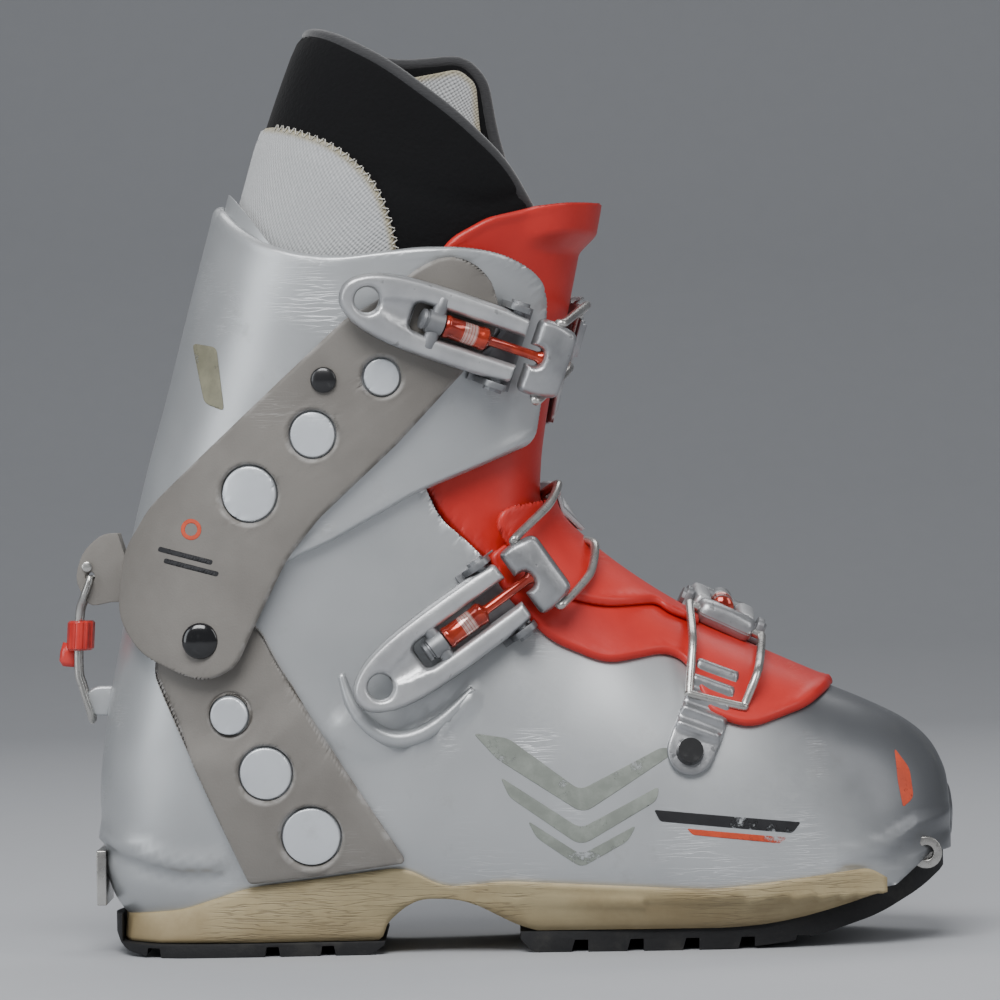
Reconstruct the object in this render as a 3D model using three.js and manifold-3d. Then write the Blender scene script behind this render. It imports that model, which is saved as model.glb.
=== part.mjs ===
// Alpine touring boot, right foot, built as separate pieces.
// Millimetres, +X to the toe, +Y to the inner side of the foot, +Z up. The origin is on the
// ground under the cuff pivot, on the boot's middle plane.
import * as THREE from "three";
import { mergeVertices } from "three/addons/utils/BufferGeometryUtils.js";
import Module from "manifold-3d";

const wasm = await Module();
wasm.setup();

// ---------------------------------------------------------------- driving dimensions
const GAP = 0.3; // clearance between pieces that touch
const SHELL_WALL = 3.2;
const COLLAR_STEP = 0.8; // how far the shell's collar is set in under the cuff
const CUFF_GAP = 0.9; // running clearance of the cuff over the lower shell
const CUFF_WALL = 3;
const STRINGER_T = 3.2;
const TONGUE_T = 2.5;
const LINER_T = 5;
const PIVOT = { x: 0, z: 109 }; // cuff pivot axis, along Y
const PIVOT_CAP_R = 6.2;
const LEAN_BACK = 20; // degrees the cuff swings back in walk mode
const TREAD = 5; // thickness of rubber under the midsole
const SHELL_BASE = 19; // height of the shell's underside under the arch and the forefoot
const HEEL_DROP = 7; // how much lower the shell's underside is behind the arch
const CUFF_IN = CUFF_GAP;
const CUFF_OUT = CUFF_GAP + CUFF_WALL;
const STRINGER_IN = CUFF_OUT + GAP;
const STRINGER_OUT = STRINGER_IN + STRINGER_T;
const TONGUE_OUT = -(SHELL_WALL + GAP); // the shin tongue runs inside the shell
const TONGUE_IN = TONGUE_OUT - TONGUE_T;
const LINER_OUT = TONGUE_IN - GAP;
const LINER_IN = LINER_OUT - LINER_T;

// ---------------------------------------------------------------- materials
const material = (color, roughness, metalness = 0) =>
  new THREE.MeshStandardMaterial({ color, roughness, metalness });
const SILVER = material(0xaeb6ba, 0.38, 0.35);
const GREY = material(0x817d78, 0.55, 0.15);
const RED = material(0xc32a1c, 0.35);
const ALLOY = material(0xb3b3b3, 0.35, 0.9);
const STEEL = material(0x9a978f, 0.3, 1);
const RED_ALLOY = material(0x8e1c0c, 0.25, 0.9);
const RUBBER = material(0x141416, 0.8);
const TAN = material(0x958560, 0.6);
const BLACK = material(0x0b0b0c, 0.25);
const MESH_CLOTH = material(0xa5a4a2, 0.95);
const BOARD = material(0x3a3a3c, 0.8);

// ---------------------------------------------------------------- solids
const boot = new THREE.Group();

function solid(geometry) {
  const bare = geometry.index ? geometry.clone() : geometry;
  bare.deleteAttribute("normal");
  bare.deleteAttribute("uv");
  const merged = mergeVertices(bare, 1e-4);
  return new wasm.Manifold(
    new wasm.Mesh({
      numProp: 3,
      vertProperties: new Float32Array(merged.attributes.position.array),
      triVerts: new Uint32Array(merged.index.array),
    }),
  );
}

function geometryOf(made) {
  const mesh = made.getMesh();
  const geometry = new THREE.BufferGeometry();
  geometry.setAttribute("position", new THREE.BufferAttribute(mesh.vertProperties, 3));
  geometry.setIndex(new THREE.BufferAttribute(mesh.triVerts, 1));
  geometry.computeVertexNormals();
  return geometry;
}

function addNode(name, made, look) {
  const mesh = new THREE.Mesh(geometryOf(made), look);
  mesh.name = name;
  boot.add(mesh);
}

const union = (...parts) => parts.reduce((a, b) => a.add(b));

// A closed solid through rings of points, all rings with the same count, ends closed by fans.
function loft(rings) {
  const count = rings[0].length;
  const points = rings.flat();
  const faces = [];
  for (let i = 0; i + 1 < rings.length; i++) {
    for (let j = 0; j < count; j++) {
      const k = (j + 1) % count;
      const [a, b, c, d] = [i * count + j, i * count + k, (i + 1) * count + k, (i + 1) * count + j];
      faces.push(a, c, b, a, d, c);
    }
  }
  [0, rings.length - 1].forEach((i) => {
    const centre = rings[i].reduce((sum, p) => sum.add(p), new THREE.Vector3()).divideScalar(count);
    points.push(centre);
    for (let j = 0; j < count; j++) {
      const [a, b] = [i * count + j, i * count + ((j + 1) % count)];
      if (i === 0) faces.push(points.length - 1, a, b);
      else faces.push(points.length - 1, b, a);
    }
  });
  const geometry = new THREE.BufferGeometry().setFromPoints(points);
  geometry.setIndex(faces);
  const made = solid(geometry);
  if (made.volume() > 0) return made;
  const turned = [];
  for (let i = 0; i < faces.length; i += 3) turned.push(faces[i], faces[i + 2], faces[i + 1]);
  geometry.setIndex(turned);
  return solid(geometry);
}

// A closed outline whose corners [a, b, radius] are rounded; the radius may be left out.
function outline(corners, curveSegments = 3) {
  const at = (i) => new THREE.Vector2(...corners[(i + corners.length) % corners.length].slice(0, 2));
  const points = [];
  corners.forEach((corner, i) => {
    const here = at(i);
    const back = at(i - 1).sub(here);
    const ahead = at(i + 1).sub(here);
    const radius = corner[2] ?? 0;
    if (radius === 0) {
      points.push(here);
      return;
    }
    const start = here.clone().add(back.setLength(Math.min(radius, back.length() * 0.48)));
    const end = here.clone().add(ahead.setLength(Math.min(radius, ahead.length() * 0.48)));
    points.push(...new THREE.QuadraticBezierCurve(start, here, end).getPoints(curveSegments));
  });
  return new THREE.Shape(points);
}

// A side outline in X and Z, made solid from y0 to y1.
function sideSolid(corners, y0, y1, curveSegments) {
  const shape = corners instanceof THREE.Shape ? corners : outline(corners, curveSegments);
  const geometry = new THREE.ExtrudeGeometry(shape, { depth: y1 - y0, bevelEnabled: false });
  geometry.rotateX(Math.PI / 2);
  geometry.translate(0, y1, 0);
  return solid(geometry);
}

// A cylinder of radius r along Y.
function acrossCylinder(x, z, r, y0, y1, sides = 24) {
  const geometry = new THREE.CylinderGeometry(r, r, y1 - y0, sides);
  geometry.translate(x, (y0 + y1) / 2, z);
  return solid(geometry);
}

// A tube of radius r through points, with flat ends.
function tube(points, r, sides = 6) {
  const rings = [];
  let side = null;
  points.forEach((p, i) => {
    const before = points[Math.max(i - 1, 0)];
    const after = points[Math.min(i + 1, points.length - 1)];
    const along = after.clone().sub(before).normalize();
    if (!side) {
      side = new THREE.Vector3(0, 0, 1).cross(along);
      if (side.length() < 0.2) side = new THREE.Vector3(1, 0, 0).cross(along);
    }
    side = side.clone().addScaledVector(along, -side.dot(along)).normalize();
    const up = along.clone().cross(side);
    rings.push(
      Array.from({ length: sides }, (_, j) => {
        const turn = (2 * Math.PI * j) / sides;
        return p.clone().addScaledVector(side, r * Math.cos(turn)).addScaledVector(up, r * Math.sin(turn));
      }),
    );
  });
  return loft(rings);
}

// ---------------------------------------------------------------- the boot form
// Every shell is a layer of one form. A station is a section plane seen from the side: front
// point, back point, half width, centre offset, squareness and how low the width sits.
const STATIONS = [
  [257.5, 53, 258, 34, 8, 5, 2.3, 0],
  [256, 60, 257, 20, 18, 5, 2.4, 0.1],
  [251, 69, 252, 12, 28, 5, 2.5, 0.2],
  [242, 76.5, 242, 2, 36, 4.5, 2.6, 0.25],
  [228, 83.5, 228, 2, 43, 4, 2.6, 0.3],
  [209, 91.5, 209, 2, 48, 3, 2.5, 0.32],
  [188, 101, 188, 2, 50.5, 2, 2.4, 0.32],
  [168, 110.5, 166, 2, 50.5, 1, 2.3, 0.3],
  [150, 121.5, 140, 2, 49, 0, 2.3, 0.25],
  [134, 133.5, 108, 2, 47, 0, 2.3, 0.2],
  [122.5, 145, 70, 2, 45.5, 0, 2.4, 0.12],
  [119, 157, 30, 2, 44, 0, 2.5, 0.06],
  [119.5, 170, -8, 2, 43, 0, 2.6, 0],
  [121.5, 183, -33, 18, 42.5, 0, 2.6, 0],
  [124, 195, -38.5, 50, 42.5, 0, 2.5, 0],
  [127, 207, -36, 80, 43.5, 0, 2.4, 0],
  [130, 219, -30.5, 109, 45, 0, 2.3, 0],
  [132.5, 230, -25, 136, 46.5, 0, 2.3, 0],
  [135, 241, -17.5, 166, 48, 0, 2.3, 0],
  [137, 251, -9, 195, 49.5, 0, 2.3, 0],
  [138.5, 260, -1, 224, 51, 0, 2.3, 0],
  [140, 269, 7, 252, 52, 0, 2.3, 0],
  [141.5, 278, 16, 282, 52, 0, 2.3, 0],
  [143, 286, 27, 312, 51, 0, 2.3, 0],
  [145, 295, 37, 338, 50, 0, 2.3, 0],
];
const LAST = STATIONS.length - 1;

// Station values at s, from 0 at the toe to LAST at the top, by a Catmull-Rom spline.
function station(s) {
  const i = Math.min(Math.max(Math.floor(s), 0), LAST - 1);
  const t = s - i;
  const at = (k) => STATIONS[Math.min(Math.max(k, 0), LAST)];
  const [p0, p1, p2, p3] = [at(i - 1), at(i), at(i + 1), at(i + 2)];
  return p1.map(
    (v, k) =>
      v +
      0.5 * t * (p2[k] - p0[k]) +
      t * t * (p0[k] - 2.5 * v + 2 * p2[k] - 0.5 * p3[k]) +
      t * t * t * (1.5 * v - 0.5 * p0[k] - 1.5 * p2[k] + 0.5 * p3[k]),
  );
}

// A point of the form grown by d. The angle is 0 at the front line and a quarter turn on the outer side.
function formPoint(s, angle, d) {
  const [ax, az, bx, bz, width, centre, square, low] = station(s);
  const half = Math.hypot(ax - bx, az - bz) / 2;
  const power = (v) => Math.sign(v) * Math.pow(Math.abs(v), 2 / square);
  const along = power(Math.cos(angle));
  const slid = along - low * (1 - along * along);
  const reach = (slid * (half + d)) / half;
  return new THREE.Vector3(
    (ax + bx) / 2 + (reach * (ax - bx)) / 2,
    centre - power(Math.sin(angle)) * (width + d),
    (az + bz) / 2 + (reach * (az - bz)) / 2,
  );
}

// The inner layers start further back, so the toe keeps its thickness.
const toeStart = (d) => (d < 0 ? 0.9 - 0.16 * d : 0);

// Every layer is cut into the same facets, so that layers never cross each other.
const AROUND = 22;

function formSolid(d, from = toeStart(d), to = LAST) {
  const levels = [from];
  for (let s = Math.floor(from) + 1; s < to; s++) levels.push(s);
  levels.push(to);
  return loft(
    levels.map((s) =>
      Array.from({ length: AROUND }, (_, j) => formPoint(s, (2 * Math.PI * j) / AROUND, d)),
    ),
  );
}

const layer = (inner, outer, from = toeStart(outer), to = LAST) =>
  formSolid(outer, from, to)
    .subtract(formSolid(inner, Math.max(from - 1, toeStart(inner)), Math.min(to + 1, LAST)));

// The section plane through a side point, and the form's surface point there.
function onSide(x, z, side, d) {
  let [low, high] = [0, LAST];
  for (let k = 0; k < 40; k++) {
    const s = (low + high) / 2;
    const [ax, az, bx, bz] = station(s);
    const turn = (ax - bx) * (z - bz) - (az - bz) * (x - bx);
    if (turn > 0) low = s;
    else high = s;
  }
  const s = (low + high) / 2;
  let [near, far] = side < 0 ? [0, Math.PI] : [0, -Math.PI];
  for (let k = 0; k < 40; k++) {
    const angle = (near + far) / 2;
    const p = formPoint(s, angle, d);
    const [ax, az, bx, bz] = station(s);
    const ahead = (p.x - x) * (ax - bx) + (p.z - z) * (az - bz);
    if (ahead > 0) near = angle;
    else far = angle;
  }
  return surfaceAt(s, (near + far) / 2, d);
}

function surfaceAt(s, angle, d) {
  const step = 1e-3;
  const point = formPoint(s, angle, d);
  const up = formPoint(s + step, angle, d).sub(formPoint(s - step, angle, d));
  const round = formPoint(s, angle + step, d).sub(formPoint(s, angle - step, d));
  const normal = up.cross(round).normalize();
  const [ax, az, bx, bz, , centre] = station(s);
  const outward = point.clone().sub(new THREE.Vector3((ax + bx) / 2, centre, (az + bz) / 2));
  if (normal.dot(outward) < 0) normal.negate();
  return { s, angle, point, normal };
}

// ---------------------------------------------------------------- shared outlines
const WIDE = 90; // half depth of a cut right across the boot
const cut = (corners, curveSegments) => sideSolid(corners, -WIDE, WIDE, curveSegments);
// Everything above the sole line at height z under the foot, which rises at the toe.
const above = (z) =>
  cut([
    [-90, z - HEEL_DROP], [-14, z - HEEL_DROP, 10], [16, z, 10], [226, z, 12],
    [236, z + 1.8], [249, z + 12.2], [300, z + 14.2], [300, 400], [-90, 400],
  ]);
const half = (side, start = 0) =>
  side < 0
    ? sideSolid([[-90, -20], [300, -20], [300, 400], [-90, 400]], -WIDE, -start)
    : sideSolid([[-90, -20], [300, -20], [300, 400], [-90, 400]], start, WIDE);

const SIDES = { lateral: -1, medial: 1 };

// ---------------------------------------------------------------- lower shell
const throat = cut([
  [75.5, 161], [82.4, 149.5, 6], [94.5, 139.4, 6], [103, 129, 6], [112, 122, 8], [128, 112, 8],
    [150, 108, 8], [168, 97, 6],
  [188, 93, 6], [203, 99, 6], [205, 140], [150, 200], [75, 200],
]);
const shellTop = cut([[-90, 0], [300, 0], [300, 160], [75, 155.5], [60, 146, 10], [30, 134, 10],
  [0, 127, 10], [-90, 126]]);
const collarZone = cut([[-90, 119], [-24, 119], [0, 126], [26, 130], [46, 139], [75, 155], [84, 170],
  [-90, 170]]);

const shellInside = formSolid(-SHELL_WALL).intersect(above(SHELL_BASE + SHELL_WALL));
let shell = formSolid(0).intersect(above(SHELL_BASE)).subtract(shellInside);
shell = shell.intersect(shellTop).subtract(throat);
shell = shell.subtract(layer(-COLLAR_STEP, 4, 6, LAST).intersect(collarZone));

// ---------------------------------------------------------------- sole
const midsoleSide = cut([
  [-30.5, TREAD], [-30.5, 14], [-9, 16.2], [14.7, 24.1, 4], [36.9, 26.6], [67.6, 30.6, 5],
  [81.4, 23, 5], [101.9, 25.1], [125.8, 23.9], [173.7, 21.4], [228.3, 26.9, 4], [233, 19.5, 2],
  [194, TREAD + 2.6, 20], [112.5, TREAD + 2.6], [105.6, 9.8, 3], [88.3, 19, 6], [71.2, 19.4, 5],
  [61.1, 10.7, 3], [59.5, TREAD],
]);
const shellBody = formSolid(GAP).intersect(above(SHELL_BASE - GAP));
const soleBody = formSolid(1.6);
let midsole = soleBody.intersect(midsoleSide).subtract(shellBody);

const heelSide = cut([
  [-35, 14], [-34, 8, 3], [-29.5, 2, 3], [-17.5, 0, 4], [56, 0, 2], [60.5, 3.5, 0.5],
  [60.5, TREAD - GAP], [-30.8, TREAD - GAP], [-30.8, 14],
]);
const frontSide = cut([
  [107, TREAD + 2.3], [107, 4.6], [111, 0, 2], [195, 0, 30], [230.5, 10.3, 6], [246, 18, 4],
  [258, 26, 3], [259, 33], [249, 31], [236, 20.5], [194, TREAD + 2.3, 20],
]);
const plan = (points) => new THREE.Shape(new THREE.SplineCurve(points.map(([x, y]) =>
  new THREE.Vector2(x, y))).getPoints(48).slice(0, -1));
const solePrism = (points, z0, z1) => {
  const geometry = new THREE.ExtrudeGeometry(plan([...points, points[0]]), { depth: z1 - z0,
    bevelEnabled: false });
  geometry.translate(0, 0, z0);
  return solid(geometry);
};
const soleFoot = solePrism(
  [[-34, 0], [-31, -17], [-17, -32], [15, -35], [60, -34], [100, -35.5], [150, -38], [190, -37.5],
   [220, -32], [240, -21], [253, -6], [256, 8], [253, 19], [240, 31], [220, 40], [190, 43.5],
   [150, 42], [100, 36], [60, 33.5], [15, 34.5], [-17, 31.5], [-31, 17]],
  -1, 34,
);
const grooves = (xs, width, depth, lean = 0) =>
  xs.map((x) => cut([[x - width / 2 - 0.8, -1], [x + width / 2 + 0.8, -1],
    [x + width / 2 + lean, depth], [x - width / 2 + lean, depth]]));
let heelRubber = soleFoot.intersect(heelSide);
let frontRubber = soleFoot.intersect(frontSide).subtract(shellBody);
[0, -GAP].forEach((dz) => (frontRubber = frontRubber.subtract(midsole.translate([0, 0, dz]))));
grooves([-19, 22, 41], 4, 3.4).forEach((g) => (heelRubber = heelRubber.subtract(g)));
grooves([127, 146, 165, 184, 203, 222], 4.5, 4.2, 0.8).forEach((g) => (frontRubber = frontRubber
  .subtract(g)));

// ---------------------------------------------------------------- inner floor and liner foot
const innerSolid = (d, base) => formSolid(d).intersect(above(base));
const BOARD_BASE = SHELL_BASE + SHELL_WALL + GAP;
const BOARD_T = 2.5;
const LINER_BASE = BOARD_BASE + BOARD_T + GAP;
let board = innerSolid(-(SHELL_WALL + GAP), BOARD_BASE).subtract(above(BOARD_BASE + BOARD_T));
const linerBody = innerSolid(LINER_OUT, LINER_BASE).subtract(innerSolid(LINER_IN, LINER_BASE + LINER_T));
const footZone = cut([[-90, 0], [300, 0], [300, 163], [122, 163], [60, 146], [20, 131], [0, 128.5],
  [-90, 128.5]]);
const linerTopZone = cut([
  [-90, 136], [20, 136], [60, 150], [126, 168], [300, 168], [300, 238], [124, 240],
  [116.3, 254.2], [107.4, 269.4, 8], [90, 286.2, 8], [65.8, 304.5, 8], [43.4, 317, 6], [31.4, 319.2, 4],
  [24, 311], [-90, 300],
]);
let linerFoot = linerBody.intersect(footZone);
const linerCuff = layer(LINER_IN, LINER_OUT).intersect(linerTopZone);

// ---------------------------------------------------------------- cuff
const cuffZone = (front) => cut([
  [-90, 121], [-22, 123], [-14, 127], [0, 130.5], [14, 131], [25, 133.1], [45.2, 142], [73.8, 157.8],
  [95.8, 166.8], [front - 2.5, 175.7, 4], [front, 190], [front + 2.5, 223.4, 4], [front, 231.8, 6],
    [108, 238.5, 8],
  [94.3, 241.3, 8], [77.3, 241.3], [50.2, 238.4], [36.5, 239.5, 8], [22.8, 243.6, 6], [12.5, 250.2, 6],
  [4, 259.9, 3], [-90, 259.9],
]);
const flapZone = cut([[100, 184, 6], [150, 190, 6], [156, 222, 6], [110, 229, 6], [100, 200]]);
const cuffLayer = layer(CUFF_IN, CUFF_OUT, 8);
const cuffShell = union(
  cuffLayer.intersect(cuffZone(118.5)),
  cuffLayer.intersect(flapZone).intersect(half(1, 3)),
);

// ---------------------------------------------------------------- stringers
const ring = (x, z, r, turns = 16) => acrossCylinder(x, z, r, -WIDE, WIDE, turns);
const upperPlate = union(
  cut([
    [-18.4, 154.7, 4], [-28, 140.3, 5], [-30.6, 117.5, 6], [-22.5, 104, 8], [-0.3, 93.6, 10],
      [11.8, 99.3, 5],
    [17.4, 111.6, 4], [29.8, 135.9, 5], [41.1, 149.7], [68.5, 174.7], [100.5, 208.5], [88, 230],
      [76, 234], [51.4, 217.2],
  ]),
  ring(87.9, 221.6, 17.5),
);
const upperHoles = [[17.2, 158.4, 10], [39.5, 178.2, 8.3], [63.6, 197.4, 6.8]];
const lowerPlate = cut([
  [-18.5, 97.9, 5], [-14, 110, 8], [-4, 121, 8], [8, 121, 8], [20, 112, 8], [24, 103.5, 5], [68.1, 31.3],
  [36.9, 26.6 + GAP], [14.2, 24.5],
]).subtract(cut([[0, 0], [80, 0], [80, 32.2], [67.6, 30.6 + GAP], [36.9, 26.6 + GAP],
  [14.7, 24.1 + GAP], [0, 20]]));
const lowerHoles = [[8.6, 82.8, 7.1], [20.9, 63, 9.5], [36, 41, 10.5]];
const drilled = (plate, holes) => holes.reduce((left, [x, z, r]) => left.subtract(ring(x, z, r)), plate);
const PIN_R = 4;
const pinHole = ring(PIVOT.x, PIVOT.z, PIN_R + GAP);
const upperLayer = layer(STRINGER_IN, STRINGER_OUT, 8);
const lowerLayer = layer(GAP, GAP + STRINGER_T, 8);
const SWEPT_T = 1.2;
const RIVET = { x: 43.9, z: 196.7, r: 4.4 };
const upperStringer = upperLayer
  .intersect(drilled(upperPlate, upperHoles))
  .subtract(pinHole)
  .subtract(ring(RIVET.x, RIVET.z, 3.1, 12));
// The lower stringer is thinner where the upper one sweeps over it as the cuff leans back.
const leaned = (body, degrees) => {
  const back = new THREE.Matrix4().makeTranslation(PIVOT.x, 0, PIVOT.z);
  back.multiply(new THREE.Matrix4().makeRotationY((-degrees * Math.PI) / 180));
  back.multiply(new THREE.Matrix4().makeTranslation(-PIVOT.x, 0, -PIVOT.z));
  return body.transform(back.elements);
};
const sweepZone = cut([[-40, 78], [-40, 126], [4, 126], [4, 92], [-8, 78]]);
const swept = upperLayer.intersect(upperPlate);
const lowerStringer = lowerLayer
  .intersect(drilled(lowerPlate, lowerHoles))
  .subtract(pinHole)
  .subtract(layer(SWEPT_T, STRINGER_OUT, 8).intersect(sweepZone))
  .subtract(leaned(swept, LEAN_BACK))
  .subtract(leaned(swept, LEAN_BACK - 3));

// ---------------------------------------------------------------- tongues
const insetTongueZone = cut([
  [219, 90], [206.9, 83.4, 4], [186.5, 76.1, 6], [172.7, 81, 4], [165.5, 99.7, 4], [158.6, 103, 4],
    [138.1, 99.2, 6],
  [119.1, 107.4, 6], [103.4, 124.2, 6], [98, 136], [112, 146], [122, 151], [220, 151],
]);
const insetTongue = layer(GAP, 3, 3, 14).intersect(insetTongueZone);
const flapSide = cut([[156.5, 120.1, 3], [137.7, 119, 6], [122, 123, 4], [108, 137, 6], [101, 147, 6],
  [104, 152, 4], [122, 154], [170, 154], [170, 124]]);
const tongueFlap = layer(3 + GAP, 5.8, 5, 15).intersect(flapSide);
const shinSide = cut([[118, 157, 3], [75.3, 161, 6], [70, 175], [82, 236, 4], [87.3, 244.3, 5],
  [100.9, 251.5], [116.4, 255.2], [170, 257.5], [170, 157]]);
const shinTongue = union(
  layer(TONGUE_IN, TONGUE_OUT, 9).intersect(shinSide),
  layer(TONGUE_IN, 2.5, 15).intersect(shinSide).intersect(cut([[116, 247], [170, 241], [170, 270],
    [116, 270]])),
);

// ---------------------------------------------------------------- small fittings
const AXES = { x: [1, 0, 0], y: [0, 1, 0], z: [0, 0, 1] };
const vec = (p) => new THREE.Vector3(...p);

// A cylinder or cone from one point to another.
function rod(from, to, r0, r1 = r0, sides = 12) {
  const along = to.clone().sub(from);
  const geometry = new THREE.CylinderGeometry(r1, r0, along.length(), sides);
  geometry.translate(0, along.length() / 2, 0);
  geometry.applyQuaternion(new THREE.Quaternion().setFromUnitVectors(vec(AXES.y), along.normalize()));
  geometry.translate(from.x, from.y, from.z);
  return solid(geometry);
}

// A headed pin standing on the form: shank from d0 to d1, head from d1 to d2.
function studOnSide(x, z, side, [d0, d1, d2], shank, head) {
  const { point, normal } = onSide(x, z, side, d1);
  const at = (d) => point.clone().addScaledVector(normal, d - d1);
  return union(rod(at(d0), at(d1 + 0.2), shank), rod(at(d1), at(d2), head, head * 0.72));
}

const box = (x0, x1, y0, y1, z0, z1) => sideSolid([[x0, z0], [x1, z0], [x1, z1], [x0, z1]], y0, y1);

// Toe and heel sockets that the binding holds
const TOE_SOCKET = { x: 247, z: 31, r: 5.5, bore: 2.6, depth: 3.2, length: 5, boss: 8 };
const toeBlock = (side, r, inward, outward) => {
  const face = onSide(TOE_SOCKET.x, TOE_SOCKET.z, side, 0.4).point.y;
  const [y0, y1] = [face - side * inward, face + side * outward].sort((p, q) => p - q);
  return acrossCylinder(TOE_SOCKET.x, TOE_SOCKET.z, r, y0, y1);
};
const toeFittings = {};
Object.entries(SIDES).forEach(([name, side]) => {
  const { r, bore, depth, length, boss } = TOE_SOCKET;
  toeFittings[name] = toeBlock(side, r, length, 0).subtract(toeBlock(side, bore, depth, 1));
  shell = shell.add(toeBlock(side, boss, length + 2.5, 0).intersect(formSolid(0))
    .intersect(above(SHELL_BASE)));
});
const HEEL_PLATE = { x0: -39.5, x1: -36.2, half: 15, z0: 17, z1: 36 };
const heelSlots = [-8, 8].map((y) => box(-45, -37.5, y - 2.2, y + 2.2, HEEL_PLATE.z0 - 2, 29));
let heelFitting = box(HEEL_PLATE.x0, HEEL_PLATE.x1, -HEEL_PLATE.half, HEEL_PLATE.half, HEEL_PLATE.z0,
  HEEL_PLATE.z1);
heelSlots.forEach((slot) => (heelFitting = heelFitting.subtract(slot)));
const heelPocket = box(-60, HEEL_PLATE.x1 + GAP, -HEEL_PLATE.half - GAP, HEEL_PLATE.half + GAP,
  HEEL_PLATE.z0 - GAP, HEEL_PLATE.z1 + GAP);
const heelScrew = rod(vec([-40.6, 0, 32]), vec([-39.8, 0, 32]), 3, 3.4);
shell = shell.subtract(heelPocket);
midsole = midsole.subtract(heelPocket);
heelRubber = heelRubber.subtract(heelPocket);
Object.values(SIDES).forEach((side) => {
  const pocket = toeBlock(side, TOE_SOCKET.r + GAP, TOE_SOCKET.length + GAP, 20);
  shell = shell.subtract(pocket);
  midsole = midsole.subtract(pocket);
  frontRubber = frontRubber.subtract(pocket);
  const inner = toeBlock(side, TOE_SOCKET.boss + GAP, TOE_SOCKET.length + 2.5 + GAP, 0);
  board = board.subtract(inner);
  linerFoot = linerFoot.subtract(inner);
});

// Spoiler inside the back of the cuff
const spoilerZone = cut([[-60, 214], [10, 214, 6], [32, 236, 6], [12, 262, 6], [5, 268, 3], [-60, 268]]);
const rearSpoiler = layer(-1.9, CUFF_IN - GAP, 14).intersect(spoilerZone);

// ---------------------------------------------------------------- walk lock on the heel
const bracketSide = [[-33.2, 122], [-41, 120.5, 3], [-46, 130, 4], [-43, 140, 4], [-36, 146, 4],
  [-30.6, 146], [-27, 134], [-29, 122]];
const LOCK_HINGE = { x: -40.5, z: 131 };
const lockBracket = union(
  sideSolid(bracketSide, 3.6, 6.9),
  sideSolid(bracketSide, -6.9, -3.6),
  sideSolid([[-33.2, 122], [-36, 124], [-35, 145], [-30.6, 146], [-27, 134], [-29, 122]], -6.9, 6.9),
)
  .subtract(acrossCylinder(LOCK_HINGE.x, LOCK_HINGE.z, 1.7, -10, 10, 12))
  .subtract(formSolid(CUFF_OUT + GAP));
const WIRE_R = 1.2;
const wireSide = [
  [-40.5, 7.9, 131], [-41, 8.6, 128.6], [-42.8, 8.2, 124], [-44.9, 4.8, 117.5], [-45.6, 4.6, 99],
  [-44.4, 4.6, 93], [-42, 4.6, 85], [-41.2, 3.4, 81.4], [-41, 0, 80.6],
];
const wirePath = wireSide.concat(wireSide.slice(0, -1).reverse().map(([x, y, z]) => [x, -y, z])).map(vec);
const lockWire = union(
  acrossCylinder(LOCK_HINGE.x, LOCK_HINGE.z, WIRE_R, -8.6, 8.6, 12),
  tube(wirePath, WIRE_R),
);
const gripPath = [vec([-45, 0, 111.5]), vec([-45.5, 0, 103])];
const lockGrip = [0, 2].reduce(
  (made, i) => {
    const at = (t) => gripPath[0].clone().lerp(gripPath[1], t);
    return made.add(rod(at(i / 4 - 0.001), at(i / 4 + 0.3), 6.4));
  },
  rod(gripPath[0], gripPath[1], 6),
)
  .subtract(tube(wirePath, WIRE_R + 0.3));
const lockHook = sideSolid([[-30, 92.6], [-40, 92.6, 2], [-43.4, 90, 2], [-43.4, 84.6, 2],
  [-40, 82.3, 1], [-30, 82.3]], -3, 3)
  .subtract(formSolid(GAP));

// ---------------------------------------------------------------- buckles
// Each buckle stands in its own frame: u along the pull, w across it, n out of the boot. The
// lever turns on its base pins at the origin; the rod hangs on the trunnion behind them.
const LEVER = { length: 61, half: 12.2, top: 4.4, under: 3.8, slot: 4.9, pin: 2 };
const RIDGE = { height: 1.2, half: 1, spacing: 3.2 };
const BAIL_R = 1.5;
const TRUNNION_R = 2.5;
const BLOCK = { from: 8.5, to: 17.5, half: 10.6, hole: 14.5 };

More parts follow.
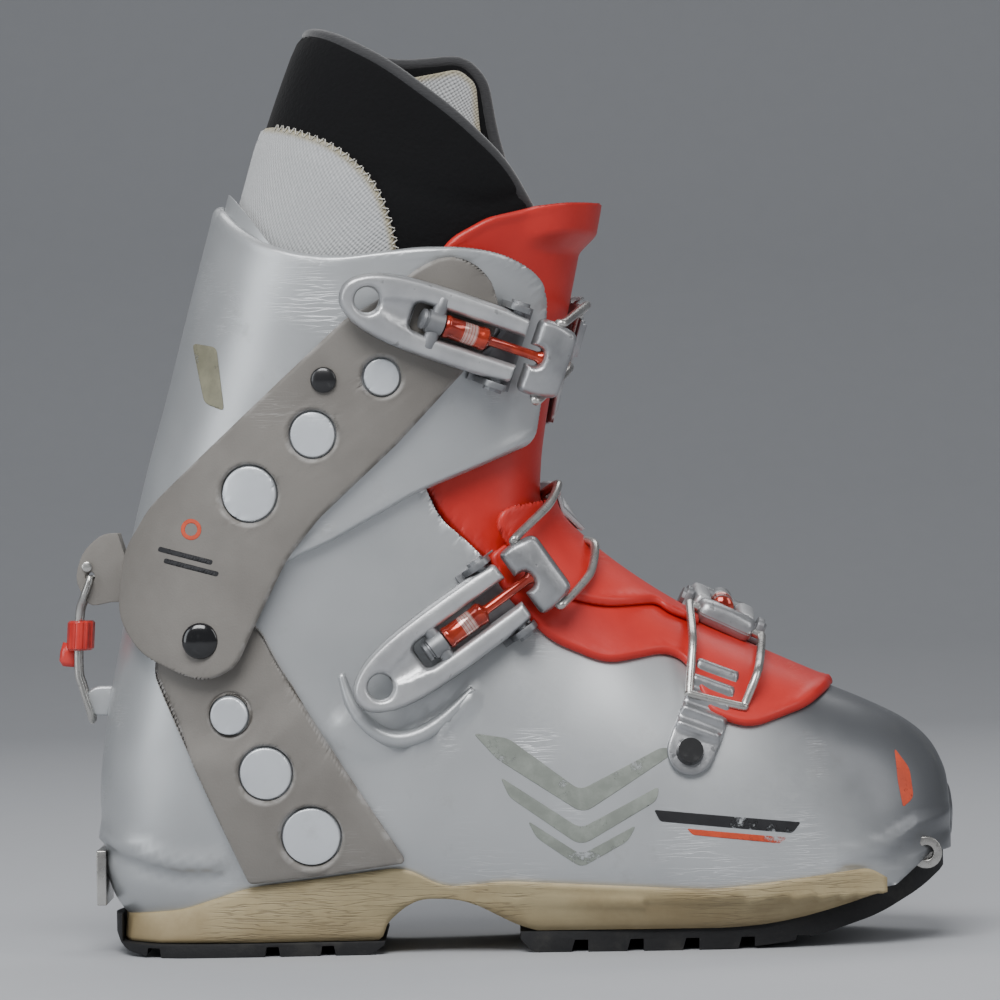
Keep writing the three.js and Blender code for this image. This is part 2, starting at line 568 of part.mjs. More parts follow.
function buckle({ pins, pull, outward, trunnion, bend, length, cover, strap, catchAt, around, avoid,
  lift = 0 }) {
  const u = vec(pull).normalize();
  const n = vec(outward).addScaledVector(u, -vec(outward).dot(u)).normalize();
  const w = u.clone().cross(n);
  const frame = new THREE.Matrix4().makeBasis(u, w, n).setPosition(...pins);
  const at = (a, b, c) => new THREE.Vector3(a, b, c).applyMatrix4(frame);
  // a profile in u and n, made solid from w0 to w1
  const across = (corners, w0, w1) => {
    const geometry = new THREE.ExtrudeGeometry(outline(corners), { depth: w1 - w0, bevelEnabled: false });
    geometry.translate(0, 0, w0);
    geometry.applyMatrix4(new THREE.Matrix4().makeBasis(u, n, w).setPosition(...pins));
    return solid(geometry);
  };
  const pinAcross = (a, c, r, w0, w1, sides = 10) => rod(at(a, w0, c), at(a, w1, c), r, r, sides);

  const { half: side, top, under, slot, pin } = LEVER;
  const turn = (bend * Math.PI) / 180;
  const start = -14;
  const tail = (a, c) => [start - a * Math.cos(turn) - c * Math.sin(turn),
    c * Math.cos(turn) - a * Math.sin(turn)];
  const end = length + start;
  const profile = [
    [4.3, -under, 3], [4.3, top, 4],
      [start, top, 6], tail(end - 4, top).concat(3), tail(end, 0.5).concat(1),
    tail(end - 2, -2).concat(1), tail(end - 10, -under).concat(4), [start, -under, 6],
  ];
  const keepOut = formSolid(strap);
  let lever = across(profile, -side, side);
  lever = lever
    .subtract(across([[trunnion - 8, -20], [10, -20], [10, 20], [trunnion - 8, 20]], -slot, slot))
    .subtract(pinAcross(0, 0, pin + GAP, -20, 20))
    .subtract(pinAcross(trunnion, 1.2, TRUNNION_R + GAP, -9.4, 9.4))
    .subtract(keepOut)
    .subtract(across([[-8.8, -24], [8.8, -24], [8.8, 6], [-8.8, 6]], -16, 16)
      .intersect(formSolid(cover + 2.4)));
  const tailHole = [tail(end - 10, 20), tail(end - 10, -20)].map(([a, c]) => at(a, 0, c));
  lever = lever.subtract(rod(tailHole[0], tailHole[1], 4.2));

  const ears = [-1, 1].map((s) =>
    across([[-4.4, 1, 3], [-3, 4.4, 3], [3, 4.4, 3], [4.4, 1, 3], [8, -22],
      [-8, -22]], ...(s < 0 ? [-14.8, -12.6] : [12.6, 14.8])),
  );
  const plate = across([[-8, -24], [8, -24], [8, 6], [-8, 6]], -14.8, 14.8)
    .intersect(layer(cover + GAP, cover + GAP + 1.8, 2))
    .subtract(pinAcross(0, 0, 6.3, -12.5, 12.5, 16));
  const stubs = [-1, 1].map((s) => pinAcross(0, 0, pin, ...(s < 0 ? [-16, -5.6] : [5.6, 16]))
    .add(pinAcross(0, 0, 3.3, ...(s < 0 ? [-16, -14.6] : [14.6, 16]))));
  let base = union(...ears.map((ear) => ear.subtract(formSolid(cover + GAP))), plate, ...stubs);
  if (avoid) base = base.subtract(avoid);

  const pinBar = pinAcross(trunnion, 1.2, TRUNNION_R, -9, 9)
    .subtract(rod(at(trunnion - 4, 0, 1.2), at(trunnion + 4, 0, 1.2), 1.7));
  const reach = (a) => at(a, 0, 1.2);
  const barrel = union(
    rod(reach(trunnion - 3), reach(BLOCK.from + 4), 1.4, 1.4, 12),
    rod(reach(trunnion - 3.6), reach(trunnion - 2.8), 2.3, 2.3, 12),
    rod(reach(trunnion + 2.9), reach(trunnion + (trunnion < -20 ? 19 : 12)), 4, 4, 20),
    rod(reach(BLOCK.from + 3.6), reach(BLOCK.from + 6), 2.3, 2.3, 12),
  );
  // the catch on the strap: the bail rests between two low ridges
  const ladderTop = strap === cover ? cover + GAP + 2 : catchAt[2] + 2;
  const seat = surfaceAt(catchAt[0], catchAt[1], ladderTop);
  const away = seat.point.clone().sub(at(BLOCK.to, 0, 0));
  away.addScaledVector(seat.normal, -away.dot(seat.normal)).normalize();
  const bar = away.clone().cross(seat.normal);
  if (bar.dot(w) < 0) bar.negate();
  const centre = seat.point.clone().addScaledVector(seat.normal, BAIL_R + GAP + lift);
  const legs = [1, -1].map((s, i) => [
    at(BLOCK.hole, s * 7.2, 1.2),
    at(BLOCK.hole, s * 12.9, 1.2),
    at(BLOCK.hole + 1.8, s * 13.9, 1.2),
    ...around[i].map(([q, angle, d]) => formPoint(q, angle, d)),
    centre.clone().addScaledVector(bar, s * 9.8).addScaledVector(away, -1.5),
    centre.clone().addScaledVector(bar, s * 8.6),
  ]);
  const wire = new THREE.CatmullRomCurve3([...legs[0], ...legs[1].reverse()], false, "catmullrom", 0.35);
  const bail = tube(wire.getPoints(26), BAIL_R, 6);
  const block = across([[BLOCK.from, -2.8, 2], [BLOCK.from, 5, 2], [BLOCK.to, 5, 3],
    [BLOCK.to, -2.8, 3]], -BLOCK.half, BLOCK.half)
    .subtract(rod(reach(BLOCK.from - 1), reach(BLOCK.from + 2.3), 1.8, 1.8, 12))
    .subtract(rod(reach(BLOCK.from + 1.2), reach(BLOCK.from + 6.5), 2.7, 2.7, 12))
    .subtract(tube(wire.getPoints(26), BAIL_R + 0.5, 6))
    .subtract(pinAcross(BLOCK.hole, 1.2, BAIL_R + 0.9, -12, -6))
    .subtract(pinAcross(BLOCK.hole, 1.2, BAIL_R + 0.9, 6, 12));
  return { lever, base, pinBar, barrel, block, bail, seat, away, bar, at, u, w, n };
}

// Ridges on a strap either side of where the bail rests, and on beyond for tighter settings.
function ridges({ seat, away, bar }, count, back = 1) {
  const made = [];
  for (let i = -back; i < count; i++) {
    const t = (2 * i + 1) * RIDGE.spacing;
    const edge = (a, c, b) =>
      seat.point.clone().addScaledVector(away, t + a).addScaledVector(seat.normal,
        c).addScaledVector(bar, b);
    made.push(
      loft([-6, 6].map((b) => [edge(-RIDGE.half, -1, b), edge(RIDGE.half, -1, b), edge(RIDGE.half, 0,
        b), edge(0.2, RIDGE.height, b), edge(-0.2, RIDGE.height, b), edge(-RIDGE.half, 0, b)])),
    );
  }
  return made;
}

const BUCKLES = {
  upper: {
    pins: [106, -50.2, 207],
    pull: [0.908, 0.279, -0.313],
    outward: [0.2475, -0.9595, -0.137],
    trunnion: -26.5,
    bend: 4,
    length: LEVER.length,
    cover: CUFF_OUT,
    strap: STRINGER_OUT + GAP,
    catchAt: [15.1, -0.14, CUFF_OUT + GAP],
    around: [[[14.2, 0.3, 8]], [[16, 0.3, 9]]],
    avoid: union(upperPlate, ring(87.9, 221.6, 17.5 + GAP), ring(88.1, 220, 17.5 + GAP))
      .intersect(formSolid(STRINGER_OUT + GAP)),
  },
  instep: {
    pins: [102.6, -46.5, 121.6],
    pull: [0.815, 0.1, 0.57],
    outward: [0.1, -0.99, 0.03],
    trunnion: -26.5,
    bend: 0,
    length: LEVER.length,
    cover: 0,
    strap: GAP * 2,
    lift: 2.2,
    catchAt: [9.9, -0.06, 5.8 + GAP],
    around: [[[9, 0.55, 9], [9, 0.3, 10]], [[10.7, 0.5, 10.5], [10.7, 0.25, 10.5]]],
    avoid: union(insetTongueZone, insetTongueZone.translate([-0.6, 0, -0.4])).intersect(formSolid(3 + GAP)),
  },
  toe: {
    pins: [180, 8, 113.5],
    pull: [0, -0.98, -0.2],
    outward: [0.42, 0.1, 0.9],
    trunnion: -17,
    bend: 50,
    length: 54,
    cover: 3,
    strap: 3 + GAP * 2,
    catchAt: [6.6, 0.84, 3 + GAP],
    around: [[[7, 0.55, 8]], [[5.9, 0.6, 9]]],
  },
};
const made = Object.fromEntries(Object.entries(BUCKLES).map(([name, spec]) => [name, buckle(spec)]));
Object.entries(made).forEach(([name, b]) => {
  addNode(`${name}_buckle_base`, b.base, ALLOY);
  addNode(`${name}_lever`, b.lever, ALLOY);
  addNode(`${name}_trunnion`, b.pinBar, STEEL);
  addNode(`${name}_barrel`, b.barrel, RED_ALLOY);
  addNode(`${name}_block`, b.block, ALLOY);
  addNode(`${name}_bail`, b.bail, STEEL);
});

// ---------------------------------------------------------------- straps the bails hook on
// A strap lies on the form between two heights, cut to a band along the pull.
function strapBand({ seat, away, bar }, from, to, half, inner, outer) {
  const corner = (t, b, c) =>
    seat.point.clone().addScaledVector(away, t).addScaledVector(bar, b).addScaledVector(seat.normal, c);
  const ends = [-30, 12].map((c) => [corner(from, -half, c), corner(to, -half, c), corner(to, half, c),
    corner(from, half, c)]);
  return loft(ends).intersect(layer(inner, outer, 2));
}
function ladder(catchOn, from, to, inner, count) {
  return union(strapBand(catchOn, from, to, 7.4, inner, inner + 2), ...ridges(catchOn, count))
    .subtract(formSolid(inner));
}
const upperLadder = ladder(made.upper, -7, 24, CUFF_OUT + GAP, 2);
const instepLadder = ladder(made.instep, -9, 24, 5.8 + GAP, 2);
const toeLadder = ladder(made.toe, -7.5, 14, 3 + GAP, 1);

// ---------------------------------------------------------------- pivots and rivets
const pivots = Object.fromEntries(
  Object.entries(SIDES).map(([name, side]) => {
    const skin = (d) => onSide(PIVOT.x, PIVOT.z, side, d).point.y;
    const at = (y) => vec([PIVOT.x, y, PIVOT.z]);
    const face = skin(STRINGER_OUT) + side * 2.2;
    return [name, rod(at(skin(1.6)), at(face), PIN_R - GAP)
      .add(rod(at(face), at(face + side * 2.4), PIVOT_CAP_R, 4.6, 20))];
  }),
);
const cuffRivets = Object.fromEntries(
  Object.entries(SIDES).map(([name, side]) => [
    name,
    studOnSide(RIVET.x, RIVET.z, side,
      [STRINGER_OUT - 1, STRINGER_OUT + GAP, STRINGER_OUT + 1.8], 2.4, RIVET.r),
  ]),
);

addNode("lower_shell", shell, SILVER);
addNode("midsole", midsole, TAN);
addNode("heel_rubber", heelRubber, RUBBER);
addNode("forefoot_rubber", frontRubber, RUBBER);
addNode("boot_board", board, BOARD);
addNode("liner_foot", linerFoot, MESH_CLOTH);
addNode("liner_cuff", linerCuff, MESH_CLOTH);
addNode("cuff_shell", cuffShell, SILVER);
Object.entries(SIDES).forEach(([name, side]) => {
  addNode(`stringer_upper_${name}`, upperStringer.intersect(half(side, 10)), GREY);
  addNode(`stringer_lower_${name}`, lowerStringer.intersect(half(side, 10)), GREY);
});
addNode("instep_tongue", insetTongue, RED);
addNode("tongue_flap", tongueFlap, RED);
addNode("shin_tongue", shinTongue, RED);
Object.entries(toeFittings).forEach(([name, made]) => addNode(`toe_fitting_${name}`, made, STEEL));
addNode("heel_fitting", heelFitting, STEEL);
addNode("heel_fitting_screw", heelScrew, STEEL);
addNode("rear_spoiler", rearSpoiler, BLACK);
addNode("lock_bracket", lockBracket, GREY);
addNode("lock_wire", lockWire, STEEL);
addNode("lock_grip", lockGrip, RED_ALLOY);
addNode("lock_hook", lockHook, BLACK);
addNode("upper_ladder", upperLadder, ALLOY);
addNode("instep_ladder", instepLadder, ALLOY);
addNode("toe_ladder", toeLadder, ALLOY);
Object.keys(SIDES).forEach((name) => {
  addNode(`ankle_pivot_${name}`, pivots[name], BLACK);
  addNode(`cuff_rivet_${name}`, cuffRivets[name], BLACK);
});

export default boot;
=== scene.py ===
import math

import bmesh
import bpy
import numpy as np
from mathutils import Matrix, Vector, geometry
from mathutils.kdtree import KDTree


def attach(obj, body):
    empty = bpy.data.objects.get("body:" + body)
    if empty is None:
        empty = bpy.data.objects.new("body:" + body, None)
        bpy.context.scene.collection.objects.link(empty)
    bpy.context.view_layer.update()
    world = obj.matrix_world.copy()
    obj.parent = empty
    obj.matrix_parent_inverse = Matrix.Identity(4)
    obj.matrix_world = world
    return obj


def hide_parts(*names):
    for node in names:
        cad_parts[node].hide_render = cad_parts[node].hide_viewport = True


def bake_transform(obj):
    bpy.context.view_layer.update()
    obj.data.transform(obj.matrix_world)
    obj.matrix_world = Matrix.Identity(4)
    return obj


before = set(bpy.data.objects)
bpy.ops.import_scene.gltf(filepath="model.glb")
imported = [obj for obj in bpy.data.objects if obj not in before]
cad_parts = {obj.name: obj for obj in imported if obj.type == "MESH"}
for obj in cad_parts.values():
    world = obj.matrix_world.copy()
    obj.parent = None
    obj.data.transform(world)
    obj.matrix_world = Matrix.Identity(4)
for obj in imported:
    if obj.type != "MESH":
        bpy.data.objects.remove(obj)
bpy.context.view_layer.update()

# ================================================================ camera and light
# The boot stands side on, its outer side to the camera. Four soft studio lights and a grey room
# light it, the brightest from above and in front.
scene = bpy.context.scene
camera = bpy.data.objects.new("camera", bpy.data.cameras.new("camera"))
scene.collection.objects.link(camera)
camera.data.lens = 164.6
camera.data.sensor_width = 36
camera.location = (0.1028, -1.6, 0.155)
camera.rotation_euler = (math.radians(90), math.radians(1.1), 0)
scene.camera = camera


def area_light(name, place, aim, size, watts, colour=(1, 1, 1)):
    data = bpy.data.lights.new(name, "AREA")
    data.shape = "RECTANGLE"
    data.size, data.size_y = size
    data.energy = watts
    data.color = colour
    light = bpy.data.objects.new(name, data)
    scene.collection.objects.link(light)
    light.location = place
    light.rotation_euler = (Vector(aim) - Vector(place)).to_track_quat("-Z", "Y").to_euler()


area_light("key", (-0.15, -1.1, 1.35), (0.1, 0, 0.12), (1.0, 0.8), 30)
area_light("left", (-1.3, -0.9, 0.6), (0.1, 0, 0.15), (0.6, 1.2), 8, (0.93, 0.97, 1))
area_light("right", (1.5, -0.7, 0.9), (0.1, 0, 0.15), (0.5, 1.1), 6)
area_light("back", (0.2, 1.0, 1.5), (0.1, 0, 0.2), (1.5, 0.6), 10)
world = bpy.data.worlds.new("studio")
world.use_nodes = True
world.node_tree.nodes["Background"].inputs["Color"].default_value = (0.66, 0.68, 0.72, 1)
world.node_tree.nodes["Background"].inputs["Strength"].default_value = 0.3
scene.world = world

# ================================================================ lower shell
# The rigid shell of the foot, injection moulded and painted metallic silver. It is open over the
# instep, where the tongue closes it, and its collar reaches up inside the cuff.
MM = 0.001  # one millimetre in the frame's metres
TRIM = 0.02  # radians from the front or the back line at which an outline is trimmed
TURN_MM, RUN_MM = 45, 14  # surface millimetres for one radian of angle and for one station

# All moulded pieces are layers of one form. A station is a section plane: its front point, its
# back point, half width, sideways offset, squareness and how low the width sits, in millimetres.
STATIONS = np.array([
    (257.5, 53, 258, 34, 8, 5, 2.3, 0), (256, 60, 257, 20, 18, 5, 2.4, 0.1),
    (251, 69, 252, 12, 28, 5, 2.5, 0.2), (242, 76.5, 242, 2, 36, 4.5, 2.6, 0.25),
    (228, 83.5, 228, 2, 43, 4, 2.6, 0.3), (209, 91.5, 209, 2, 48, 3, 2.5, 0.32),
    (188, 101, 188, 2, 50.5, 2, 2.4, 0.32), (168, 110.5, 166, 2, 50.5, 1, 2.3, 0.3),
    (150, 121.5, 140, 2, 49, 0, 2.3, 0.25), (134, 133.5, 108, 2, 47, 0, 2.3, 0.2),
    (122.5, 145, 70, 2, 45.5, 0, 2.4, 0.12), (119, 157, 30, 2, 44, 0, 2.5, 0.06),
    (119.5, 170, -8, 2, 43, 0, 2.6, 0), (121.5, 183, -33, 18, 42.5, 0, 2.6, 0),
    (124, 195, -38.5, 50, 42.5, 0, 2.5, 0), (127, 207, -36, 80, 43.5, 0, 2.4, 0),
    (130, 219, -30.5, 109, 45, 0, 2.3, 0), (132.5, 230, -25, 136, 46.5, 0, 2.3, 0),
    (135, 241, -17.5, 166, 48, 0, 2.3, 0), (137, 251, -9, 195, 49.5, 0, 2.3, 0),
    (138.5, 260, -1, 224, 51, 0, 2.3, 0), (140, 269, 7, 252, 52, 0, 2.3, 0),
    (141.5, 278, 16, 282, 52, 0, 2.3, 0), (143, 286, 27, 312, 51, 0, 2.3, 0),
    (145, 295, 37, 338, 50, 0, 2.3, 0),
])
LAST = len(STATIONS) - 1


def station(s):
    i = np.clip(np.floor(s).astype(int), 0, LAST - 1)
    t = (s - i)[:, None]
    p0, p1, p2, p3 = (STATIONS[np.clip(i + k, 0, LAST)] for k in (-1, 0, 1, 2))
    return (p1 + 0.5 * t * (p2 - p0) + t ** 2 * (p0 - 2.5 * p1 + 2 * p2 - 0.5 * p3)
            + t ** 3 * (1.5 * p1 - 0.5 * p0 - 1.5 * p2 + 0.5 * p3)).T


def form(s, angle, d):
    """Points of the form grown by d millimetres. Angle 0 is the front line, a quarter turn the outer side."""
    s, angle, d = np.broadcast_arrays(np.asarray(s, float), angle, d)
    closing = np.sqrt(np.clip(1 - np.clip(-s, 0, 1) ** 2, 0, 1))
    ax, az, bx, bz, width, centre, square, low = station(np.clip(s, 0, LAST - 1e-6))
    half = np.hypot(ax - bx, az - bz) / 2
    power = lambda v: np.sign(v) * np.abs(v) ** (2 / square)
    along = power(np.cos(angle))
    along = (along - low * (1 - along ** 2)) * (half + d) / half * closing
    across = power(np.sin(angle)) * (width + d) * closing
    x = (ax + bx) / 2 + along * (ax - bx) / 2 + np.clip(-s, 0, 1) * 1.6
    return np.stack([x, centre - across, (az + bz) / 2 + along * (az - bz) / 2], -1)


def on_side(points, side, d=0.0):
    """Station and angle of side-view points (x, z) on the outer (-1) or inner (1) side."""
    x, z = np.asarray(points, float).T
    low, high = np.zeros(len(x)), np.full(len(x), LAST - 1e-3)
    for _ in range(40):
        s = (low + high) / 2
        ax, az, bx, bz = station(s)[:4]
        ahead = (ax - bx) * (z - bz) - (az - bz) * (x - bx) > 0
        low, high = np.where(ahead, s, low), np.where(ahead, high, s)
    ax, az, bx, bz = station(s)[:4]
    near, far = np.zeros(len(x)), np.full(len(x), math.pi)
    for _ in range(40):
        angle = (near + far) / 2
        p = form(s, angle, d)
        ahead = (p[:, 0] - x) * (ax - bx) + (p[:, 2] - z) * (az - bz) > 0
        near, far = np.where(ahead, angle, near), np.where(ahead, far, angle)
    return np.stack([s, -side * angle], -1)


def slopes(uv, d, place=None):
    place = place or form
    step = 1e-4
    u = (place(uv[:, 0] + step, uv[:, 1], d) - place(uv[:, 0] - step, uv[:, 1], d)) / (2 * step)
    v = (place(uv[:, 0], uv[:, 1] + step, d) - place(uv[:, 0], uv[:, 1] - step, d)) / (2 * step)
    return u, v


def outward(uv, d=0.0, place=None):
    u, v = slopes(uv, d, place)
    normal = np.cross(v, u)
    normal /= np.linalg.norm(normal, axis=1)[:, None] + 1e-12
    return normal


def rounded(corners, count=6):
    """A closed outline whose corners (a, b, radius) are rounded."""
    points = []
    for i, corner in enumerate(corners):
        here = np.array(corner[:2], float)
        radius = corner[2] if len(corner) > 2 else 0
        if not radius:
            points.append(here)
            continue
        back, ahead = (np.array(corners[(i + k) % len(corners)][:2], float) - here for k in (-1, 1))
        start, end = (here + v / np.linalg.norm(v)
                      * min(radius, np.linalg.norm(v) * 0.48) for v in (back, ahead))
        for t in np.linspace(0, 1, count):
            points.append((1 - t) ** 2 * start + 2 * t * (1 - t) * here + t ** 2 * end)
    return np.array(points)


def spaced(loop, step, closed=True):
    """The outline again, with points about step apart."""
    ends = np.roll(loop, -1, 0) if closed else loop[1:]
    starts = loop if closed else loop[:-1]
    points = []
    for a, b in zip(starts, ends):
        n = max(1, int(np.ceil(np.linalg.norm(b - a) / step)))
        points += [a + (b - a) * k / n for k in range(n)]
    if not closed:
        points.append(loop[-1])
    return np.array(points)


def inside(points, loop):
    x, y = points.T
    hit = np.zeros(len(points), bool)
    for (x0, y0), (x1, y1) in zip(loop, np.roll(loop, -1, 0)):
        if y0 == y1:
            continue
        hit ^= ((y0 > y) != (y1 > y)) & (x < (x1 - x0) * (y - y0) / (y1 - y0) + x0)
    return hit


def path(corners, side, step=1.6, d=0.0):
    """A side-view line as (station, angle), from the back line to the front line, trimmed at both."""
    uv = on_side(spaced(rounded(corners), step, closed=False), side, d)
    turn = np.abs(uv[:, 1])
    first = np.max(np.nonzero(turn > math.pi - TRIM)[0], initial=0)
    last = np.min(np.nonzero(turn < TRIM)[0], initial=len(uv) - 1)
    uv = uv[first:last + 1]
    for end in (0, -1):
        if abs(uv[end, 1]) < TRIM:
            uv[end, 1] = 0
        if abs(uv[end, 1]) > math.pi - TRIM:
            uv[end, 1] = -side * math.pi
    return uv


def seam(start, end, angle, step=0.1):
    s = np.linspace(start, end, max(2, int(abs(end - start) / step)))[1:-1]
    return np.stack([s, np.full(len(s), angle)], -1)


def tube_of(inner, outer, start):
    """One outline round the whole form, open along the back and the sole, from start up to two top lines."""
    lateral, medial = outer[::-1], inner
    nose = np.stack([np.full(60, start), np.linspace(math.pi, -math.pi, 60)], -1)
    parts = [medial, lateral[1:], seam(lateral[-1, 0], start, math.pi), nose,
             seam(start, medial[0, 0], -math.pi)]
    marks = [np.full(len(part), k < 2) for k, part in enumerate(parts)]
    return [np.concatenate(parts)], [np.concatenate(marks)]


def new_object(name, verts, faces, material):
    mesh = bpy.data.meshes.new(name)
    mesh.from_pydata([tuple(v) for v in verts], [], [tuple(f) for f in faces])
    mesh.materials.append(material)
    mesh.shade_smooth()
    made = bpy.data.objects.new(name, mesh)
    scene.collection.objects.link(made)
    return made


def settle(obj, body, slot, *nodes):
    """The piece rides on its body and stands for its CAD nodes. The slot is not used."""
    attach(obj, body)
    if nodes:
        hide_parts(*nodes)
    return obj


def plate(name, loops, d0, d1, material, rim=1.4, step=2.2, relief=None, free=None, floor=None,
          place=None, scale=(18.0, 45.0)):
    """A moulded sheet between two layers of the form, cut to loops of (station, angle), with rounded rims.

    free marks the outline points that are open rims; the others are seams."""
    place = place or form
    scale = np.array(scale, float)
    middle, half = (d0 + d1) / 2, (d1 - d0) / 2
    edges, count = [], 0
    for loop in loops:
        edges += [(count + i, count + (i + 1) % len(loop)) for i in range(len(loop))]
        count += len(loop)
    border = np.concatenate(loops)
    rims = np.concatenate(free) if free is not None else np.ones(count, bool)

    def keep(uv):
        good = inside(uv, loops[0])
        for hole in loops[1:]:
            good &= ~inside(uv, hole)
        return good

    tree = KDTree(int(rims.sum()))
    for i, p in enumerate(place(*border[rims].T, middle)):
        tree.insert(p, i)
    tree.balance()

    def reach(uv):
        return np.array([tree.find(p)[2] for p in place(*uv.T, middle)])

    extra = []
    for k, loop in enumerate(loops):
        marks = free[k] if free is not None else np.ones(len(loop), bool)
        p = place(*loop.T, middle)
        side = np.cross(outward(loop, middle, place), np.roll(p, -1, 0) - np.roll(p, 1, 0))
        side /= np.linalg.norm(side, axis=1)[:, None] + 1e-12
        frame_uv = np.linalg.pinv(np.stack(slopes(loop, middle, place), -1))
        for t in (0.12, 0.4, 0.75, 1.1):
            for sign in (-1, 1):
                moved = (loop + np.einsum("nij,nj->ni", frame_uv, side * sign * t * rim))[marks]
                moved = moved[keep(moved)]
                if len(moved):
                    extra.append(moved[reach(moved) > 0.8 * t * rim])
    low, high = loops[0].min(0), loops[0].max(0)
    grid = np.stack(np.meshgrid(np.arange(low[0], high[0], step / scale[0]),
                                np.arange(low[1], high[1], step / scale[1])), -1)
    grid[::2, :, 0] += step / scale[0] / 2
    grid = grid.reshape(-1, 2)
    grid = grid[keep(grid)]
    grid = grid[reach(grid) > rim * 1.45]
    every = np.concatenate([border, *extra, grid])
    made = geometry.delaunay_2d_cdt([Vector(p) for p in every * scale], edges, [], 0, 1e-5)
    uv = np.array([tuple(p) for p in made[0]]) / scale
    faces = np.array([tuple(f) for f in made[2]])
    faces = faces[keep(uv[faces].mean(1))]
    used, faces = np.unique(faces, return_inverse=True)
    uv, faces = uv[used], faces.reshape(-1, 3)
    far = reach(uv)
    bulge = half * np.sqrt(np.clip(1 - (1 - np.clip(far / rim, 0, 1)) ** 2, 0, 1))
    lift = relief(uv, place(*uv.T, d1), far) if relief else 0.0
    top, under = place(*uv.T, middle + bulge + lift), place(*uv.T, middle - bulge)
    if floor is not None:
        top[:, 2] = np.maximum(top[:, 2], floor(top[:, 0]))
        under[:, 2] = np.maximum(under[:, 2], floor(under[:, 0]) + half * 2)
    normal = outward(uv, middle, place)
    a, b, c = (top[faces[:, i]] for i in range(3))
    flip = (np.cross(b - a, c - a) * normal[faces[:, 0]]).sum(1) < 0
    faces[flip] = faces[flip][:, ::-1]
    obj = new_object(name, np.concatenate([top, under]) * MM,
                     np.concatenate([faces, faces[:, ::-1] + len(uv)]), material)
    for label, values in (("rim", far), ("turn", uv[:, 1] * TURN_MM), ("run", uv[:, 0] * RUN_MM)):
        layer = obj.data.attributes.new(label, "FLOAT", "POINT")
        layer.data.foreach_set("value", np.tile(values, 2).astype(np.float32))
    work = bmesh.new()
    work.from_mesh(obj.data)
    bmesh.ops.remove_doubles(work, verts=work.verts, dist=2e-6)
    work.to_mesh(obj.data)
    work.free()
    obj.data.shade_smooth()
    return obj


def near_line(p, points, width):
    """1 on a side-view line, falling to 0 at width millimetres from it."""
    best = np.full(len(p), 1e9)
    q = p[:, [0, 2]]
    for a, b in zip(points[:-1], points[1:]):
        a, b = np.array(a, float), np.array(b, float)
        t = np.clip(((q - a) @ (b - a)) / ((b - a) @ (b - a)), 0, 1)
        best = np.minimum(best, np.linalg.norm(q - a - t[:, None] * (b - a), axis=1))
    t = np.clip(1 - best / width, 0, 1)
    return t * t * (3 - 2 * t)


class Shade:
    """A material's node tree, in which values are added and multiplied like numbers."""

    def __init__(self, name, **constants):
        self.material = bpy.data.materials.new(name)
        self.material.use_nodes = True
        self.tree = self.material.node_tree
        self.bsdf = self.tree.nodes["Principled BSDF"]
        for key, value in constants.items():
            self.bsdf.inputs[key.replace("_", " ")].default_value = value
        self.where = self.node("ShaderNodeTexCoord").outputs["Object"]

    def node(self, kind, settings=None, **inputs):
        made = self.tree.nodes.new(kind)
        for key, value in (settings or {}).items():
            setattr(made, key, value)
        for key, value in inputs.items():
            self.feed(made.inputs[key.replace("_", " ")], value)
        return made

    def feed(self, socket, value):
        if isinstance(value, Wave):
            value = value.out
        if isinstance(value, bpy.types.NodeSocket):
            self.tree.links.new(value, socket)
        elif isinstance(value, tuple) and len(value) == 3 and socket.type == "RGBA":
            socket.default_value = (*value, 1)
        else:
            socket.default_value = value

    def wave(self, socket):
        return Wave(self, socket)

    def noise(self, scale, detail=3.0, rough=0.55, stretch=None):
        vector = self.where
        if stretch:
            vector = self.node("ShaderNodeMapping", Vector=vector, Scale=stretch).outputs[0]
        made = self.node("ShaderNodeTexNoise", Vector=vector, Scale=scale, Detail=detail,
                         Roughness=rough)
        return self.wave(made.outputs[0])

    def axis(self, index):
        made = self.node("ShaderNodeSeparateXYZ", Vector=self.where)
        return self.wave(made.outputs[index])

    def attribute(self, name):
        made = self.node("ShaderNodeAttribute", {"attribute_name": name})
        return self.wave(made.outputs["Fac"])

    def mix(self, factor, low, high):
        made = self.tree.nodes.new("ShaderNodeMix")
        made.data_type = "RGBA"
        self.feed(made.inputs[0], factor)
        self.feed(made.inputs[6], low)
        self.feed(made.inputs[7], high)
        return made.outputs[2]

    def scratches(self, scale, width, turn, amount=0.5):
        """Thin lines in patches: where two stretched noises cross a level."""
        mapped = self.node("ShaderNodeMapping", Vector=self.where, Rotation=turn, Scale=(1, 1, 14))
        fine = self.node("ShaderNodeTexNoise", Vector=mapped.outputs[0], Scale=scale, Detail=2.0,
                         Roughness=0.4)
        line = 1 - (self.wave(fine.outputs[0]) - 0.5).size() * (1 / width)
        patch = self.noise(scale * 0.25, 2).ramp(1 - amount, 1 - amount + 0.12)
        return line.clamp() * patch

    def finish(self, color=None, roughness=None, height=None, depth=0.0004, strength=1.0, **others):
        if color is not None:
            self.feed(self.bsdf.inputs["Base Color"], color)
        if roughness is not None:
            self.feed(self.bsdf.inputs["Roughness"], roughness)
        for key, value in others.items():
            self.feed(self.bsdf.inputs[key.replace("_", " ")], value)
        if height is not None:
            bump = self.node("ShaderNodeBump", Strength=strength, Distance=depth)
            self.feed(bump.inputs["Height"], height)
            self.tree.links.new(bump.outputs[0], self.bsdf.inputs["Normal"])
        return self.material


